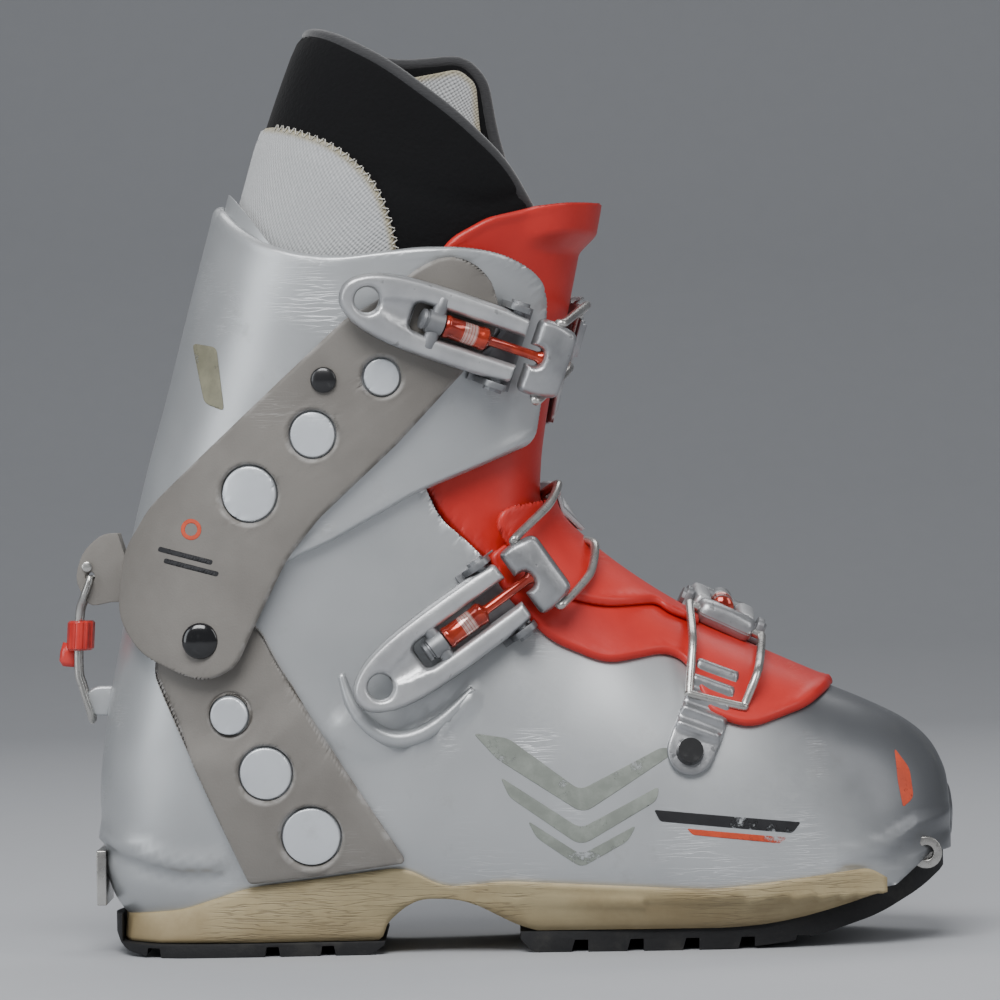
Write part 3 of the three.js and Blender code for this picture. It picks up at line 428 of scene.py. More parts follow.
class Wave:
    """A number in a node tree."""

    def __init__(self, shade, out):
        self.shade, self.out = shade, out

    def math(self, operation, other=0.0, clamp=False):
        made = self.shade.tree.nodes.new("ShaderNodeMath")
        made.operation = operation
        made.use_clamp = clamp
        self.shade.feed(made.inputs[0], self)
        self.shade.feed(made.inputs[1], other)
        return Wave(self.shade, made.outputs[0])

    def __add__(self, other):
        return self.math("ADD", other)

    def __sub__(self, other):
        return self.math("SUBTRACT", other)

    def __rsub__(self, other):
        return (self * -1.0) + other

    def __mul__(self, other):
        return self.math("MULTIPLY", other)

    __radd__, __rmul__ = __add__, __mul__

    def size(self):
        return self.math("ABSOLUTE")

    def sine(self):
        return self.math("SINE")

    def clamp(self):
        return self.math("ADD", 0.0, clamp=True)

    def highest(self, other):
        return self.math("MAXIMUM", other)

    def ramp(self, low, high):
        made = self.shade.node("ShaderNodeMapRange", {"interpolation_type": "SMOOTHSTEP"})
        self.shade.feed(made.inputs[0], self)
        made.inputs[1].default_value, made.inputs[2].default_value = low, high
        return Wave(self.shade, made.outputs[0])


def painted_silver(name, tone, dark=None):
    shade = Shade(name, Metallic=0.6, Coat_Weight=0.3, Coat_Roughness=0.22)
    cloud = shade.noise(14, 3)
    fine = shade.noise(900, 2)
    scuff = shade.scratches(60, 0.035, (0.4, 0.9, 0.2), 0.42).highest(
        shade.scratches(90, 0.03, (1.2, -0.5, 0.8), 0.4))
    dirt = shade.noise(45, 5, 0.7).ramp(0.56, 0.75)
    colour = shade.mix(cloud.ramp(0.3, 0.7), tuple(c * 0.9 for c in tone), tuple(c * 1.07 for c in tone))
    if dark:
        # Painted shade: towards the front and top of the toe the silver darkens in a smooth gradient to the
        # dark tone.
        toe = shade.axis(0) * 1000 + shade.axis(2) * 900 + (shade.noise(40, 3) - 0.5) * 18
        colour = shade.mix(toe.ramp(232, 288) * (shade.axis(0) * 1000).ramp(165, 205) * 0.85, colour, dark)
    colour = shade.mix(dirt * 0.22, colour, (0.2, 0.19, 0.17))
    colour = shade.mix(scuff * 0.55, colour, (0.8, 0.81, 0.83))
    rough = fine * 0.12 + 0.3 + dirt * 0.2 + cloud * 0.08
    return shade.finish(colour, rough, scuff * -0.6 + fine * 0.12, 0.0002, 0.5)


SILVER = (0.5, 0.515, 0.525)
# The shell's silver is given a near-black tone for the painted shade on its toe.
silver = painted_silver("silver_shell", SILVER, (0.07, 0.075, 0.085))
cuff_silver = painted_silver("silver_cuff", SILVER)
SHELL_WALL = 3.2
shell_top = [(-60, 128), (0, 134, 10), (30, 141.5, 10), (60, 156, 8), (73, 163.5, 3), (77, 162.5, 1),
             (82.4, 149.5, 6), (94.5, 139.4, 6), (103, 129, 6), (112, 122, 8), (128, 112, 8), (150, 108, 8),
             (168, 97, 6), (188, 93, 6), (203, 99, 2), (206, 110)]


def underside(x):
    """How high the shell's underside stands: low at the heel, sprung at the toe."""
    return np.interp(x, [-60, -16, 4, 16, 224, 236, 249, 300], [12, 12, 15.5, 19, 19, 20.8, 31.2, 33.2])


def shell_relief(uv, p, far):
    heel_ledge = [(-45, 43), (-34, 41), (-22, 36), (-10, 33), (4, 33)]
    crescent = [(45, 89), (49, 80), (55, 74.5), (63, 72.5), (73, 74.5), (82, 79), (91, 87)]
    hollow = [(52, 86), (58, 79), (66, 77), (76, 80), (84, 85)]
    toe_ledge = [(214, 30), (232, 34), (244, 41), (262, 45)]
    toe_groove = [(218, 26), (236, 30), (248, 36), (262, 40)]
    return (2.0 * near_line(p, heel_ledge, 4.0) - 1.3
            * near_line(p, [(x, z - 5.5) for x, z in heel_ledge], 4.0)
            + 3.0 * near_line(p, crescent, 3.4) * (p[:, 1] < 0) - 1.6 * near_line(p, hollow,
                    6.0) * (p[:, 1] < 0)
            + 1.8 * near_line(p, toe_ledge, 3.2) - 1.3 * near_line(p, toe_groove, 3.2))


loops, marks = tube_of(path(shell_top, 1), path(shell_top, -1), -0.995)
lower_shell = plate("lower_shell_moulding", loops, -SHELL_WALL, 0.0, silver, 1.2, 2.0, shell_relief, marks,
                    underside)
settle(lower_shell, "shell", "silver_shell", "lower_shell")


def tube_along(name, points, radius, material, sides=12, oval=1.0):
    """A round bar through points in millimetres; radius may be a number for each point."""
    points = np.asarray(points, float)
    count = len(points)
    radius = np.broadcast_to(radius, count)
    tangent = np.gradient(points, axis=0)
    tangent /= np.linalg.norm(tangent, axis=1)[:, None]
    normal = np.cross(tangent[0], (0, 0, 1.0) if abs(tangent[0][2]) < 0.9 else (1.0, 0, 0))
    verts, faces = [], []
    for i in range(count):
        normal = normal - tangent[i] * (normal @ tangent[i])
        normal /= np.linalg.norm(normal)
        side = np.cross(tangent[i], normal)
        for k in range(sides):
            a = 2 * math.pi * k / sides
            verts.append((points[i] + radius[i] * (math.cos(a) * normal + math.sin(a) * side * oval)) * MM)
    for i in range(count - 1):
        faces += [(i * sides + k, i * sides + (k + 1) % sides, (i + 1) * sides + (k + 1) % sides,
                   (i + 1) * sides + k)
                  for k in range(sides)]
    faces += [tuple(range(sides))[::-1], tuple((count - 1) * sides + k for k in range(sides))]
    return new_object(name, verts, faces, material)


# A moulded lip runs under the instep lever.
lip = spaced(rounded([(47.5, 97), (50.6, 86.2, 8), (56, 78.9, 6), (64.8, 73.6, 8), (75, 75.5, 8),
                      (84.2, 82.1, 6), (92.5, 91)]),
             1.5, closed=False)
lip_uv = on_side(lip, -1, 0.0)
swell = np.sin(np.linspace(0.04, 0.96, len(lip)) * math.pi) ** 0.6
settle(tube_along("shell_lip", form(*lip_uv.T, 1.1 * swell - 0.5), 0.5 + 2.6 * swell, silver, 18), "shell",
       "silver_shell")

# ================================================================ cuff
# The upper shell round the shin, moulded like the lower one and painted the same. It turns on the
# ankle pivots and laps over the shin tongue, its inner flap carrying the upper buckle's ladder.
CUFF_IN, CUFF_OUT = 0.4, 3.9
cuff_bottom = [(-60, 121), (-22, 123, 4), (-14, 127, 4), (0, 130.5, 4), (14, 131, 4), (25, 133.1, 4),
               (45.2, 142, 4), (73.8, 157.8, 4), (95.8, 166.8, 3)]
cuff_top = [(118.5, 231.8, 6), (108, 238.5, 8), (94.3, 241.3, 8), (77.3, 241.3, 4), (50.2, 238.4, 6),
            (36.5, 239.5, 8), (22.8, 243.6, 6), (12.5, 250.2, 6), (4, 259.9, 3), (-60, 259.9)]
outer_front = [(116, 175.7, 4), (118.5, 190, 3), (121, 223.4, 4)]
inner_front = [(108, 174, 5), (122, 184, 5), (152, 188), (158, 222), (127, 228, 5)]


def cuff_side(front, side):
    uv = on_side(spaced(rounded(cuff_bottom + front + cuff_top), 1.6, closed=False), side, CUFF_OUT)
    turn = np.clip(np.abs(uv[:, 1]), 0.13, math.pi)
    back = turn > math.pi - TRIM
    first = np.max(np.nonzero(back[:len(back) // 2])[0])
    last = len(back) // 2 + np.min(np.nonzero(back[len(back) // 2:])[0])
    turn[first] = turn[last] = math.pi
    turn = turn if side < 0 else 2 * math.pi - turn
    return np.stack([uv[:, 0], turn], -1)[first:last + 1]


def cuff_relief(uv, p, far):
    top = np.clip((p[:, 2] - 214) / 14, 0, 1) * np.clip((p[:, 0] - 60) / 25, 0, 1)
    lip = np.clip(1 - np.abs(far - 2.2) / 2.2, 0, 1)
    return lip * (0.35 + 0.9 * top)


cuff_outer, cuff_inner = cuff_side(outer_front, -1), cuff_side(inner_front, 1)
loops = [np.concatenate([cuff_outer, cuff_inner[::-1][1:-1]])]
cuff = plate("cuff_moulding", loops, CUFF_IN, CUFF_OUT, cuff_silver, 1.2, 2.0, cuff_relief)
settle(cuff, "cuff", "silver_shell", "cuff_shell")

# ================================================================ stringers
# Stiff grey frames moulded in tough matt plastic, one above and one below the ankle on each side.
# They are bonded to the shells, and pale bosses of the shell stand in their round windows.
def circle(x, z, r, count=48):
    turn = np.linspace(0, 2 * math.pi, count, endpoint=False)
    return np.stack([x + r * np.cos(turn), z + r * np.sin(turn)], -1)


def loop_on(corners, side, step=1.6, d=0.0):
    return on_side(spaced(rounded(corners), step), side, d)


def stringer_plastic(name, edges):
    shade = Shade(name, Specular_IOR_Level=0.35)
    grain = shade.noise(1400, 2)
    patchy = shade.noise(30, 4)
    lines = shade.scratches(70, 0.04, (0.7, 0.3, 0.5), 0.4)
    tone = shade.mix(patchy.ramp(0.3, 0.7), (0.168, 0.156, 0.142), (0.205, 0.192, 0.175))
    if edges:
        wear = (1 - shade.attribute("rim").ramp(0.1, 1.7)) * shade.noise(160, 3).ramp(0.42, 0.6)
        tone = shade.mix(wear * 0.55, tone, (0.38, 0.37, 0.36))
    tone = shade.mix(lines * 0.45, tone, (0.4, 0.39, 0.37))
    return shade.finish(tone, grain * 0.15 + 0.42 + patchy * 0.1, grain + lines * -1, 0.00012, 0.6)


stringer_grey = stringer_plastic("grey_stringer", True)
bracket_grey = stringer_plastic("grey_bracket", False)
boss_silver = painted_silver("silver_boss", (0.72, 0.75, 0.78))
upper_plate = [(-18.4, 154.7, 4), (-28, 140.3, 5), (-30.6, 117.5, 6), (-22.5, 104, 8), (-0.3, 93.6, 10),
               (11.8, 99.3, 5), (17.4, 111.6, 4), (29.8, 135.9, 5), (41.1, 149.7, 3), (68.5, 174.7, 3),
               (101.6, 209.5, 2), (105.3, 219, 5), (101, 233, 8), (88, 239.1, 8), (74.5, 233, 8),
               (70, 227.5, 4), (51.4, 217.2, 3)]
lower_plate = [(-18.5, 97.9, 5), (-14, 110, 8), (-4, 121, 8), (8, 121, 8), (20, 112, 8), (24, 103.5, 5),
               (68.1, 31.3, 2), (36.9, 26.9, 4), (14.2, 24.5, 2)]
upper_windows = [(17.2, 158.4, 10), (39.5, 178.2, 8.3), (63.6, 197.4, 6.8)]
lower_windows = [(8.6, 82.8, 7.1), (20.9, 63, 9.5), (36, 41, 10.5)]


def stringer(name, outline, windows, side, d0, d1, body, node):
    def relief(uv, p, far):
        ring = np.zeros(len(p))
        for x, z, r in windows:
            d = np.hypot(p[:, 0] - x, p[:, 2] - z) - r
            ring = np.maximum(ring, np.clip(1 - np.abs(d - 2.6) / 1.2, 0, 1) * 0.35)
        if body == "shell":
            ring = ring + 2.4 * np.clip((42 - np.hypot(p[:, 0], p[:, 2] - 109)) / 10, 0, 1)
        return -ring
    loops = [loop_on(outline, side, 1.6, d1)] + [on_side(circle(*window, 56), side, d1) for window in windows]
    made = plate(name, loops, d0, d1, stringer_grey, 1.6, 2.0, relief)
    for k, (x, z, r) in enumerate(windows):
        boss = plate(f"{name}_boss_{k + 1}", [on_side(circle(x, z, r - 0.5, 56), side, d1)], d0, d1 - 0.9,
                     boss_silver, 0.6, 1.6)
        settle(boss, body, "silver_shell")
    return settle(made, body, "grey_stringer", node)


for side, word in ((-1, "lateral"), (1, "medial")):
    stringer(f"upper_frame_{word}", upper_plate, upper_windows, side, 3.95, 7.4, "cuff",
             f"stringer_upper_{word}")
    stringer(f"lower_frame_{word}", lower_plate, lower_windows, side, 0.05, 3.5, "shell",
             f"stringer_lower_{word}")

# ================================================================ tongues
# Soft red plastic mouldings that close the instep and the shin. The lower one is set into the shell's
# opening and a flap laps over it. The shin tongue is held under the flap.
shade = Shade("red_tongue", Coat_Weight=0.15, Coat_Roughness=0.3)
cloud = shade.noise(25, 4)
grain = shade.noise(700, 2)
scuff = shade.scratches(80, 0.04, (0.5, 1.1, 0.2), 0.45)
tone = shade.mix(cloud.ramp(0.3, 0.7), (0.46, 0.012, 0.008), (0.58, 0.022, 0.014))
tone = shade.mix(scuff * 0.3, tone, (0.7, 0.2, 0.16))
red = shade.finish(tone, grain * 0.15 + 0.34 + cloud * 0.1, grain * 0.4 + scuff * -0.6, 0.0002, 0.5)
inset_edge = [(219, 92, 1), (206.9, 83.4, 4), (186.5, 76.1, 6), (172.7, 81, 4), (165.5, 99.7, 4),
              (158.6, 103, 4), (138.1, 99.2, 6), (119.1, 107.4, 6), (103.4, 124.2, 6), (98, 136, 4),
              (112, 146, 4), (150, 170)]


def saddle(corners, side_step=1.4, d=0.0):
    """A loop over the front line from a side-view line that starts and ends beyond it."""
    uv = on_side(spaced(rounded(corners), side_step, closed=False), -1, d)
    turn = uv[:, 1]
    middle = len(turn) // 2
    start = np.max(np.nonzero(turn[:middle] < TRIM)[0], initial=0)
    end = middle + np.min(np.nonzero(turn[middle:] < TRIM)[0], initial=len(turn) - middle - 1)
    uv = uv[start:end + 1].copy()
    uv[0, 1] = uv[-1, 1] = 0
    return np.concatenate([uv, (uv * (1, -1))[::-1][1:-1]])


def rolled(uv, p, far):
    return 0.7 * np.clip(1 - np.abs(far - 1.8) / 1.8, 0, 1)


inset = plate("instep_tongue_moulding", [saddle(inset_edge, d=3.0)], 0.1, 3.0, red, 1.3, 2.0, rolled)
settle(inset, "shell", "red_tongue", "instep_tongue")
flap_edge = [(172, 112), (160, 117, 3), (156.5, 120.1, 3), (137.7, 119, 6), (122, 123, 4), (108, 137, 6),
             (101, 147, 6), (104, 153, 4), (122, 156), (160, 160)]
flap = plate("tongue_flap_moulding", [saddle(flap_edge, d=5.8)], 3.3, 5.8, red, 1.2, 2.0, rolled)
settle(flap, "shell", "red_tongue", "tongue_flap")
shin_edge = [(150, 120), (128, 124, 6), (100, 132, 8), (84, 148, 8), (75.3, 163, 6), (70, 175, 4),
             (76, 205), (82, 236, 4), (87.3, 244.3, 5), (100.9, 251.5, 3), (116.4, 255.2), (170, 257.5)]


def shin_relief(uv, p, far):
    beak = np.clip((p[:, 0] - 112) / 12, 0, 1) * np.clip((p[:, 2] - 240) / 5, 0, 1)
    return 6.0 * beak * beak * (3 - 2 * beak) + rolled(uv, p, far) * (1 - beak)


shin = plate("shin_tongue_moulding", [saddle(shin_edge, d=-3.5)], -6.0, -3.5, red, 1.2, 2.0, shin_relief)
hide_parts("shin_tongue")
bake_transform(shin)

# ================================================================ liner
# The soft foam boot inside. Its leg is faced with grey woven cloth whose curved upper edge is
# overlocked, and a black fleece collar, bound along the top, rises out of it.
def woven(name, low, high, size, edge_tone=None):
    shade = Shade(name, Sheen_Weight=0.3, Sheen_Roughness=0.5)
    warp = (shade.attribute("turn") * size).sine()
    weft = (shade.attribute("run") * size).sine()
    weave = warp * weft
    lumps = shade.noise(40, 3)
    fuzz = shade.noise(900, 3)
    tone = shade.mix(weave * 0.35 + fuzz * 0.5 + 0.05, low, high)
    tone = shade.mix(lumps.ramp(0.35, 0.7) * 0.3, tone, low)
    if edge_tone:
        tone = shade.mix((1 - shade.attribute("rim").ramp(0.6, 3.0)) * (0.5 + lumps * 0.5), tone, edge_tone)
    return shade.finish(tone, lumps * 0.1 + 0.85, weave * 0.6 + fuzz, 0.00035, 0.9)


cloth = woven("liner_cloth", (0.36, 0.37, 0.375), (0.62, 0.625, 0.63), 5.2, (0.34, 0.29, 0.16))
shade = Shade("liner_fleece", Sheen_Weight=0.04, Sheen_Roughness=0.5, Specular_IOR_Level=0.2)
pile = shade.noise(700, 4)
lay = shade.noise(25, 3)
fleece = shade.finish(shade.mix(pile * 0.6 + lay * 0.3, (0.0012, 0.0012, 0.0015), (0.007, 0.007, 0.008)),
                      pile * 0.06 + 0.9, pile, 0.0004, 0.9)
LINER_FLOOR = 6.5
liner_top = [(-60, 311), (20, 311), (27, 317, 3), (31.4, 319.2, 4), (43.4, 317, 8), (65.8, 304.5, 8),
             (90, 286.2, 8), (107.4, 269.4, 8), (116.3, 254.2, 8), (124, 240, 6), (150, 238)]
liner_top_inner = [(-60, 311), (20, 311), (27, 317, 3), (31.4, 319.2, 4), (43.4, 317, 8), (67.7, 311.2, 8),
                   (92.6, 312.8, 6), (99.9, 304.7, 4), (103.1, 287, 6), (108, 270, 6), (117, 254.2, 8),
                   (124, 240, 6), (150, 238)]
loops, marks = tube_of(path(liner_top_inner, 1, d=-7), path(liner_top, -1, d=-7), 1.0)


def puffed(uv, p, far):
    """Foam stands fuller away from its seams and creases a little at the ankle."""
    s, turn = uv.T
    quilting = np.sin(turn * 3 + s * 0.8) * 0.35 + np.sin(s * 2.4 + turn) * 0.3
    crease = -0.9 * np.exp(-((p[:, 2] - 262 - 6 * np.sin(turn * 4)) / 2.4) ** 2)
    return np.clip(far / 8, 0, 1) * (quilting + 0.6) + crease


liner = plate("liner_padding", loops, -11.2, -6.9, fleece, 2.1, 3.0, puffed, marks,
              lambda x: underside(x) + LINER_FLOOR)
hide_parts("liner_foot", "liner_cuff")
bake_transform(liner)

# The grey cloth of the leg: its edge runs over the calf and drops in a round corner at the front.
panel_edge = [(-60, 286.5), (17, 286.5), (20, 286.5, 1), (32.1, 284, 6), (49.3, 276.8, 8),
              (63.2, 263.5, 10), (69.4, 243.1, 8), (69.4, 225)]
panel_outer = on_side(spaced(rounded(panel_edge), 1.4, closed=False), -1, -5.0)
panel_outer = panel_outer[np.max(np.nonzero(panel_outer[:, 1] > math.pi - TRIM)[0]):]
panel_outer[0, 1] = math.pi
panel_inner = panel_outer * (1, -1) + (0, 2 * math.pi)
loops = [np.concatenate([panel_inner[::-1], panel_outer[1:]])]


def panel_relief(uv, p, far):
    stitched = -0.55 * np.exp(-((far - 2.2) / 0.8) ** 2)
    return 0.8 * np.clip(far / 9, 0, 1) + stitched + 0.35 * np.sin(uv[:, 0] * 2.0) * np.clip(far / 12, 0, 1)


panel = plate("liner_leg_cloth", loops, -7.1, -5.0, cloth, 1.0, 2.0, panel_relief)
settle(panel, "cuff", "liner_cloth")

# The inner flap of the tongue's lining, faced with the same cloth below the bound edge.
flap_panel = [(64, 262, 4), (64, 307, 4), (91.5, 309.6, 4), (99.5, 303.5, 3), (102.3, 286.5, 4),
              (107.4, 269, 4), (114.5, 255, 4), (100, 250, 4)]
inner_uv = on_side(spaced(rounded(flap_panel), 1.5), 1)
lining = plate("liner_flap_cloth", [inner_uv], -12.6, -11.3, cloth, 0.6, 2.0)
settle(lining, "cuff", "liner_cloth")


def stitches(name, centres, normals, along, size, material):
    """Thread laid over an edge: one short stitch at each point, turned alternately for a zig-zag."""
    tree = bpy.data.node_groups.new(name, "GeometryNodeTree")
    tree.interface.new_socket("Geometry", in_out="INPUT", socket_type="NodeSocketGeometry")
    length = tree.interface.new_socket("stitch length", in_out="INPUT", socket_type="NodeSocketFloat")
    thick = tree.interface.new_socket("thread radius", in_out="INPUT", socket_type="NodeSocketFloat")
    tree.interface.new_socket("Geometry", in_out="OUTPUT", socket_type="NodeSocketGeometry")
    nodes, link = tree.nodes, tree.links.new
    start, end = nodes.new("NodeGroupInput"), nodes.new("NodeGroupOutput")
    line = nodes.new("GeometryNodeMeshLine")
    line.mode = "END_POINTS"
    line.inputs["Count"].default_value = 5
    half = nodes.new("ShaderNodeCombineXYZ")
    back = nodes.new("ShaderNodeVectorMath")
    back.operation = "SCALE"
    back.inputs["Scale"].default_value = -1
    link(start.outputs["stitch length"], half.inputs["X"])
    link(half.outputs[0], back.inputs[0])
    link(back.outputs[0], line.inputs["Start Location"])
    link(half.outputs[0], line.inputs["Offset"])
    curve = nodes.new("GeometryNodeMeshToCurve")
    link(line.outputs[0], curve.inputs[0])
    ring = nodes.new("GeometryNodeCurvePrimitiveCircle")
    ring.inputs["Resolution"].default_value = 6
    link(start.outputs["thread radius"], ring.inputs["Radius"])
    tube = nodes.new("GeometryNodeCurveToMesh")
    tube.inputs["Fill Caps"].default_value = True
    link(curve.outputs[0], tube.inputs["Curve"])
    link(ring.outputs[0], tube.inputs["Profile Curve"])
    place = nodes.new("GeometryNodeInstanceOnPoints")
    turn = nodes.new("GeometryNodeInputNamedAttribute")
    turn.data_type = "FLOAT_VECTOR"
    turn.inputs["Name"].default_value = "turned"
    link(start.outputs[0], place.inputs["Points"])
    link(tube.outputs[0], place.inputs["Instance"])
    link(turn.outputs[0], place.inputs["Rotation"])
    real = nodes.new("GeometryNodeRealizeInstances")
    paint = nodes.new("GeometryNodeSetMaterial")
    paint.inputs["Material"].default_value = material
    link(place.outputs[0], real.inputs[0])
    link(real.outputs[0], paint.inputs[0])
    link(paint.outputs[0], end.inputs[0])
    mesh = bpy.data.meshes.new(name)
    mesh.from_pydata([tuple(c * MM) for c in centres], [], [])
    turned = mesh.attributes.new("turned", "FLOAT_VECTOR", "POINT")
    for i, (normal, run) in enumerate(zip(normals, along)):
        across = np.cross(normal, run)
        lay = run * 0.5 + across * (0.87 if i % 2 else -0.87)
        basis = Matrix((lay, np.cross(normal, lay), normal)).transposed()
        turned.data[i].vector = basis.to_euler()
    points = bpy.data.objects.new(name + "_points", mesh)
    scene.collection.objects.link(points)
    modifier = points.modifiers.new("stitches", "NODES")
    modifier.node_group = tree
    modifier[length.identifier] = size[0] * MM
    modifier[thick.identifier] = size[1] * MM
    made = bpy.data.meshes.new_from_object(points.evaluated_get(bpy.context.evaluated_depsgraph_get()))
    bpy.data.objects.remove(points)
    made.shade_smooth()
    obj = bpy.data.objects.new(name, made)
    scene.collection.objects.link(obj)
    return obj


shade = Shade("sewing_thread", Sheen_Weight=0.2)
thread = shade.finish(shade.mix(shade.noise(300, 2).ramp(0.3, 0.7), (0.42, 0.40, 0.36), (0.6, 0.58, 0.52)),
                      shade.noise(900, 2) * 0.1 + 0.6)


def sew(name, uv, d, step, size, material, body):
    """Stitches every step millimetres along a line of (station, angle) on layer d."""
    p = form(*uv.T, d)
    run = np.concatenate([[0], np.cumsum(np.linalg.norm(np.diff(p, axis=0), axis=1))])
    at = np.arange(step, run[-1] - step, step)
    uv = np.stack([np.interp(at, run, uv[:, k]) for k in (0, 1)], -1)
    centres = form(*uv.T, d)
    normals = outward(uv, d)
    along = np.gradient(centres, axis=0)
    along -= normals * (along * normals).sum(1)[:, None]
    along /= np.linalg.norm(along, axis=1)[:, None]
    settle(stitches(name, centres, normals, along, size, material), body, "liner_cloth")


sew("liner_edge_stitching", panel_outer[4:], -4.75, 1.7, (1.1, 0.22), thread, "cuff")


# A padded binding folds over the collar's edge and is sewn through.
def binding(name, top, side, radius, d, material):
    uv = path(top, side, 2.0, -7)
    p = form(*uv.T, d)
    return tube_along(name, p, radius, material)


shade = Shade("liner_binding", Sheen_Weight=0.4)
ribs = shade.noise(600, 2, stretch=(1, 1, 4))
bind = shade.finish(shade.mix(ribs, (0.004, 0.004, 0.005), (0.03, 0.03, 0.033)), ribs * 0.1 + 0.7, ribs,
                    0.0003, 0.8)
for word, top, side in (("outer", liner_top, -1), ("inner", liner_top_inner, 1)):
    edge_bar = binding(f"liner_binding_{word}", top, side, 2.3, -9.05, bind)
    settle(edge_bar, "cuff", "liner_cloth")

# ================================================================ midsole
# A tough tan plastic sole block, glued round the shell's underside. It rises in an arch between
# the heel and the forefoot, and its walls are stained from use.
shade = Shade("tan_midsole", Specular_IOR_Level=0.4)
stain = shade.noise(22, 6, 0.65)
fine = shade.noise(300, 3)
# Darker towards the bottom: below about 6 to 20 mm the walls darken along a noisy edge and grow rougher.
low_darkening = 1 - (shade.axis(2) * 1000 + (stain - 0.5) * 14).ramp(6, 20)
rub = shade.scratches(60, 0.05, (0.2, 1.4, 0.3), 0.45)
tone = shade.mix(stain.ramp(0.35, 0.65), (0.33, 0.255, 0.135), (0.42, 0.345, 0.2))
tone = shade.mix(low_darkening * 0.6, tone, (0.2, 0.15, 0.08))
tone = shade.mix(rub * 0.5, tone, (0.16, 0.12, 0.07))
tan = shade.finish(tone, fine * 0.15 + 0.42 + low_darkening * 0.15, fine * 0.4 + rub * -1, 0.0003, 0.6)

SOLE_PLAN = [(-34, 0), (-31, -17), (-17, -32), (15, -35), (60, -34), (100, -35.5), (150, -38), (190, -37.5),
             (220, -32), (240, -21), (253, -6), (256, 8), (253, 19), (240, 31), (220, 40), (190, 43.5),
             (150, 42), (100, 36), (60, 33.5), (15, 34.5), (-17, 31.5), (-31, 17)]
midsole_top = rounded([(-30.5, 14), (-9, 16.2, 4), (14.7, 24.1, 6), (36.9, 26.6, 4), (67.6, 30.6, 6),
                       (81.4, 23, 6), (101.9, 25.1, 4), (125.8, 23.9, 6), (173.7, 21.4, 8),
                       (226.5, 27.2, 3), (232.6, 23.5)])
midsole_low = rounded([(-30.5, 5), (59.5, 5), (61.1, 10.7, 4), (71.2, 19.4, 6), (88.3, 19, 7),
                       (105.6, 9.8, 4), (112.5, 7.6), (194, 7.6, 20), (232.6, 18.6)])
plan = np.array(SOLE_PLAN + SOLE_PLAN[:1], float)
plan_medial, plan_lateral = plan[11:][::-1], plan[:12]
xs = np.linspace(-30.4, 232.6, 170)
tops = np.interp(xs, midsole_top[:, 0], midsole_top[:, 1])
lows = np.minimum(np.interp(xs, midsole_low[:, 0], midsole_low[:, 1]), tops - 0.6)
verts, rows = [], 9
ring_size = 2 * rows + 2
for x, top, low in zip(xs, tops, lows):
    for side, edge in ((-1, plan_lateral), (1, plan_medial[::-1])):
        order = np.argsort(edge[:, 0])
        foot = np.interp(x, edge[order, 0], edge[order, 1])
        s, turn = on_side([(x, top)], side)[0]
        wall = form(np.array([s]), np.array([turn]), 1.5)[0, 1]
        column = []
        for j in range(rows):
            t = j / (rows - 1)
            round_in = 1.0 * max(0, 1 - t * 6) ** 2 + 0.7 * max(0, t * 6 - 5) ** 2
            y = wall + (foot * 0.99 - wall) * min(1, (top - low) * t / 19) - side * round_in
            z = top + (low - top) * t
            s, turn = on_side([(x, max(z, underside(x) + 1.5))], side)[0]
            bulge = form(np.array([s]), np.array([turn]), 1.3)[0, 1]
            y = side * max(side * y, side * bulge) if z > underside(x) - 2 else y
            column.append((x, y, z))
        middle = (x, column[-1][1] * 0.4, low + 0.2)
        verts += column + [middle] if side < 0 else [middle] + column[::-1]
faces = []
count = len(xs)
for i in range(count - 1):
    for k in range(ring_size):
        a, b = i * ring_size + k, i * ring_size + (k + 1) % ring_size
        faces.append((a, a + ring_size, b + ring_size, b))
faces += [tuple(range(ring_size)), tuple(range((count - 1) * ring_size, count * ring_size))[::-1]]
midsole = new_object("midsole_block", np.array(verts) * MM, faces, tan)
work = bmesh.new()
work.from_mesh(midsole.data)
bmesh.ops.recalc_face_normals(work, faces=work.faces)
work.to_mesh(midsole.data)
work.free()
settle(midsole, "shell", "tan_midsole", "midsole")

# ================================================================ rubber soles, board and small fittings
# Black rubber treads are moulded with lugs and bonded under the heel and forefoot. Steel sockets for
# the binding's pins sit in the toe, and a slotted steel plate is screwed to the heel.
def softened(node, name, material, width, body, slot, segments=3, angle=35):
    """A piece cut to the frame's own shape, with its edges broken."""
    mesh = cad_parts[node].data.copy()
    work = bmesh.new()
    work.from_mesh(mesh)
    bmesh.ops.remove_doubles(work, verts=work.verts, dist=1e-6)
    bmesh.ops.dissolve_limit(work, angle_limit=math.radians(3), verts=work.verts, edges=work.edges)
    work.to_mesh(mesh)
    work.free()
    mesh.materials.clear()
    mesh.materials.append(material)
    obj = bpy.data.objects.new(name, mesh)
    scene.collection.objects.link(obj)
    bevel = obj.modifiers.new("edge", "BEVEL")
    bevel.width, bevel.segments, bevel.limit_method = width * MM, segments, "ANGLE"
    bevel.angle_limit = math.radians(angle)
    bevel.harden_normals = False
    made = bpy.data.meshes.new_from_object(obj.evaluated_get(bpy.context.evaluated_depsgraph_get()))
    obj.modifiers.clear()
    obj.data = made
    made.shade_smooth()
    made.set_sharp_from_angle(angle=math.radians(32))
    return settle(obj, body, slot, node)


shade = Shade("sole_rubber", Specular_IOR_Level=0.35)
grit = shade.noise(500, 4)
dust = shade.noise(35, 5, 0.7).ramp(0.5, 0.72)
tone = shade.mix(dust * 0.5, (0.012, 0.012, 0.013), (0.06, 0.058, 0.052))
rubber = shade.finish(tone, grit * 0.15 + 0.6 + dust * 0.15, grit, 0.0003, 0.7)
softened("heel_rubber", "heel_tread", rubber, 0.7, "shell", "rubber")
softened("forefoot_rubber", "forefoot_tread", rubber, 0.7, "shell", "rubber")

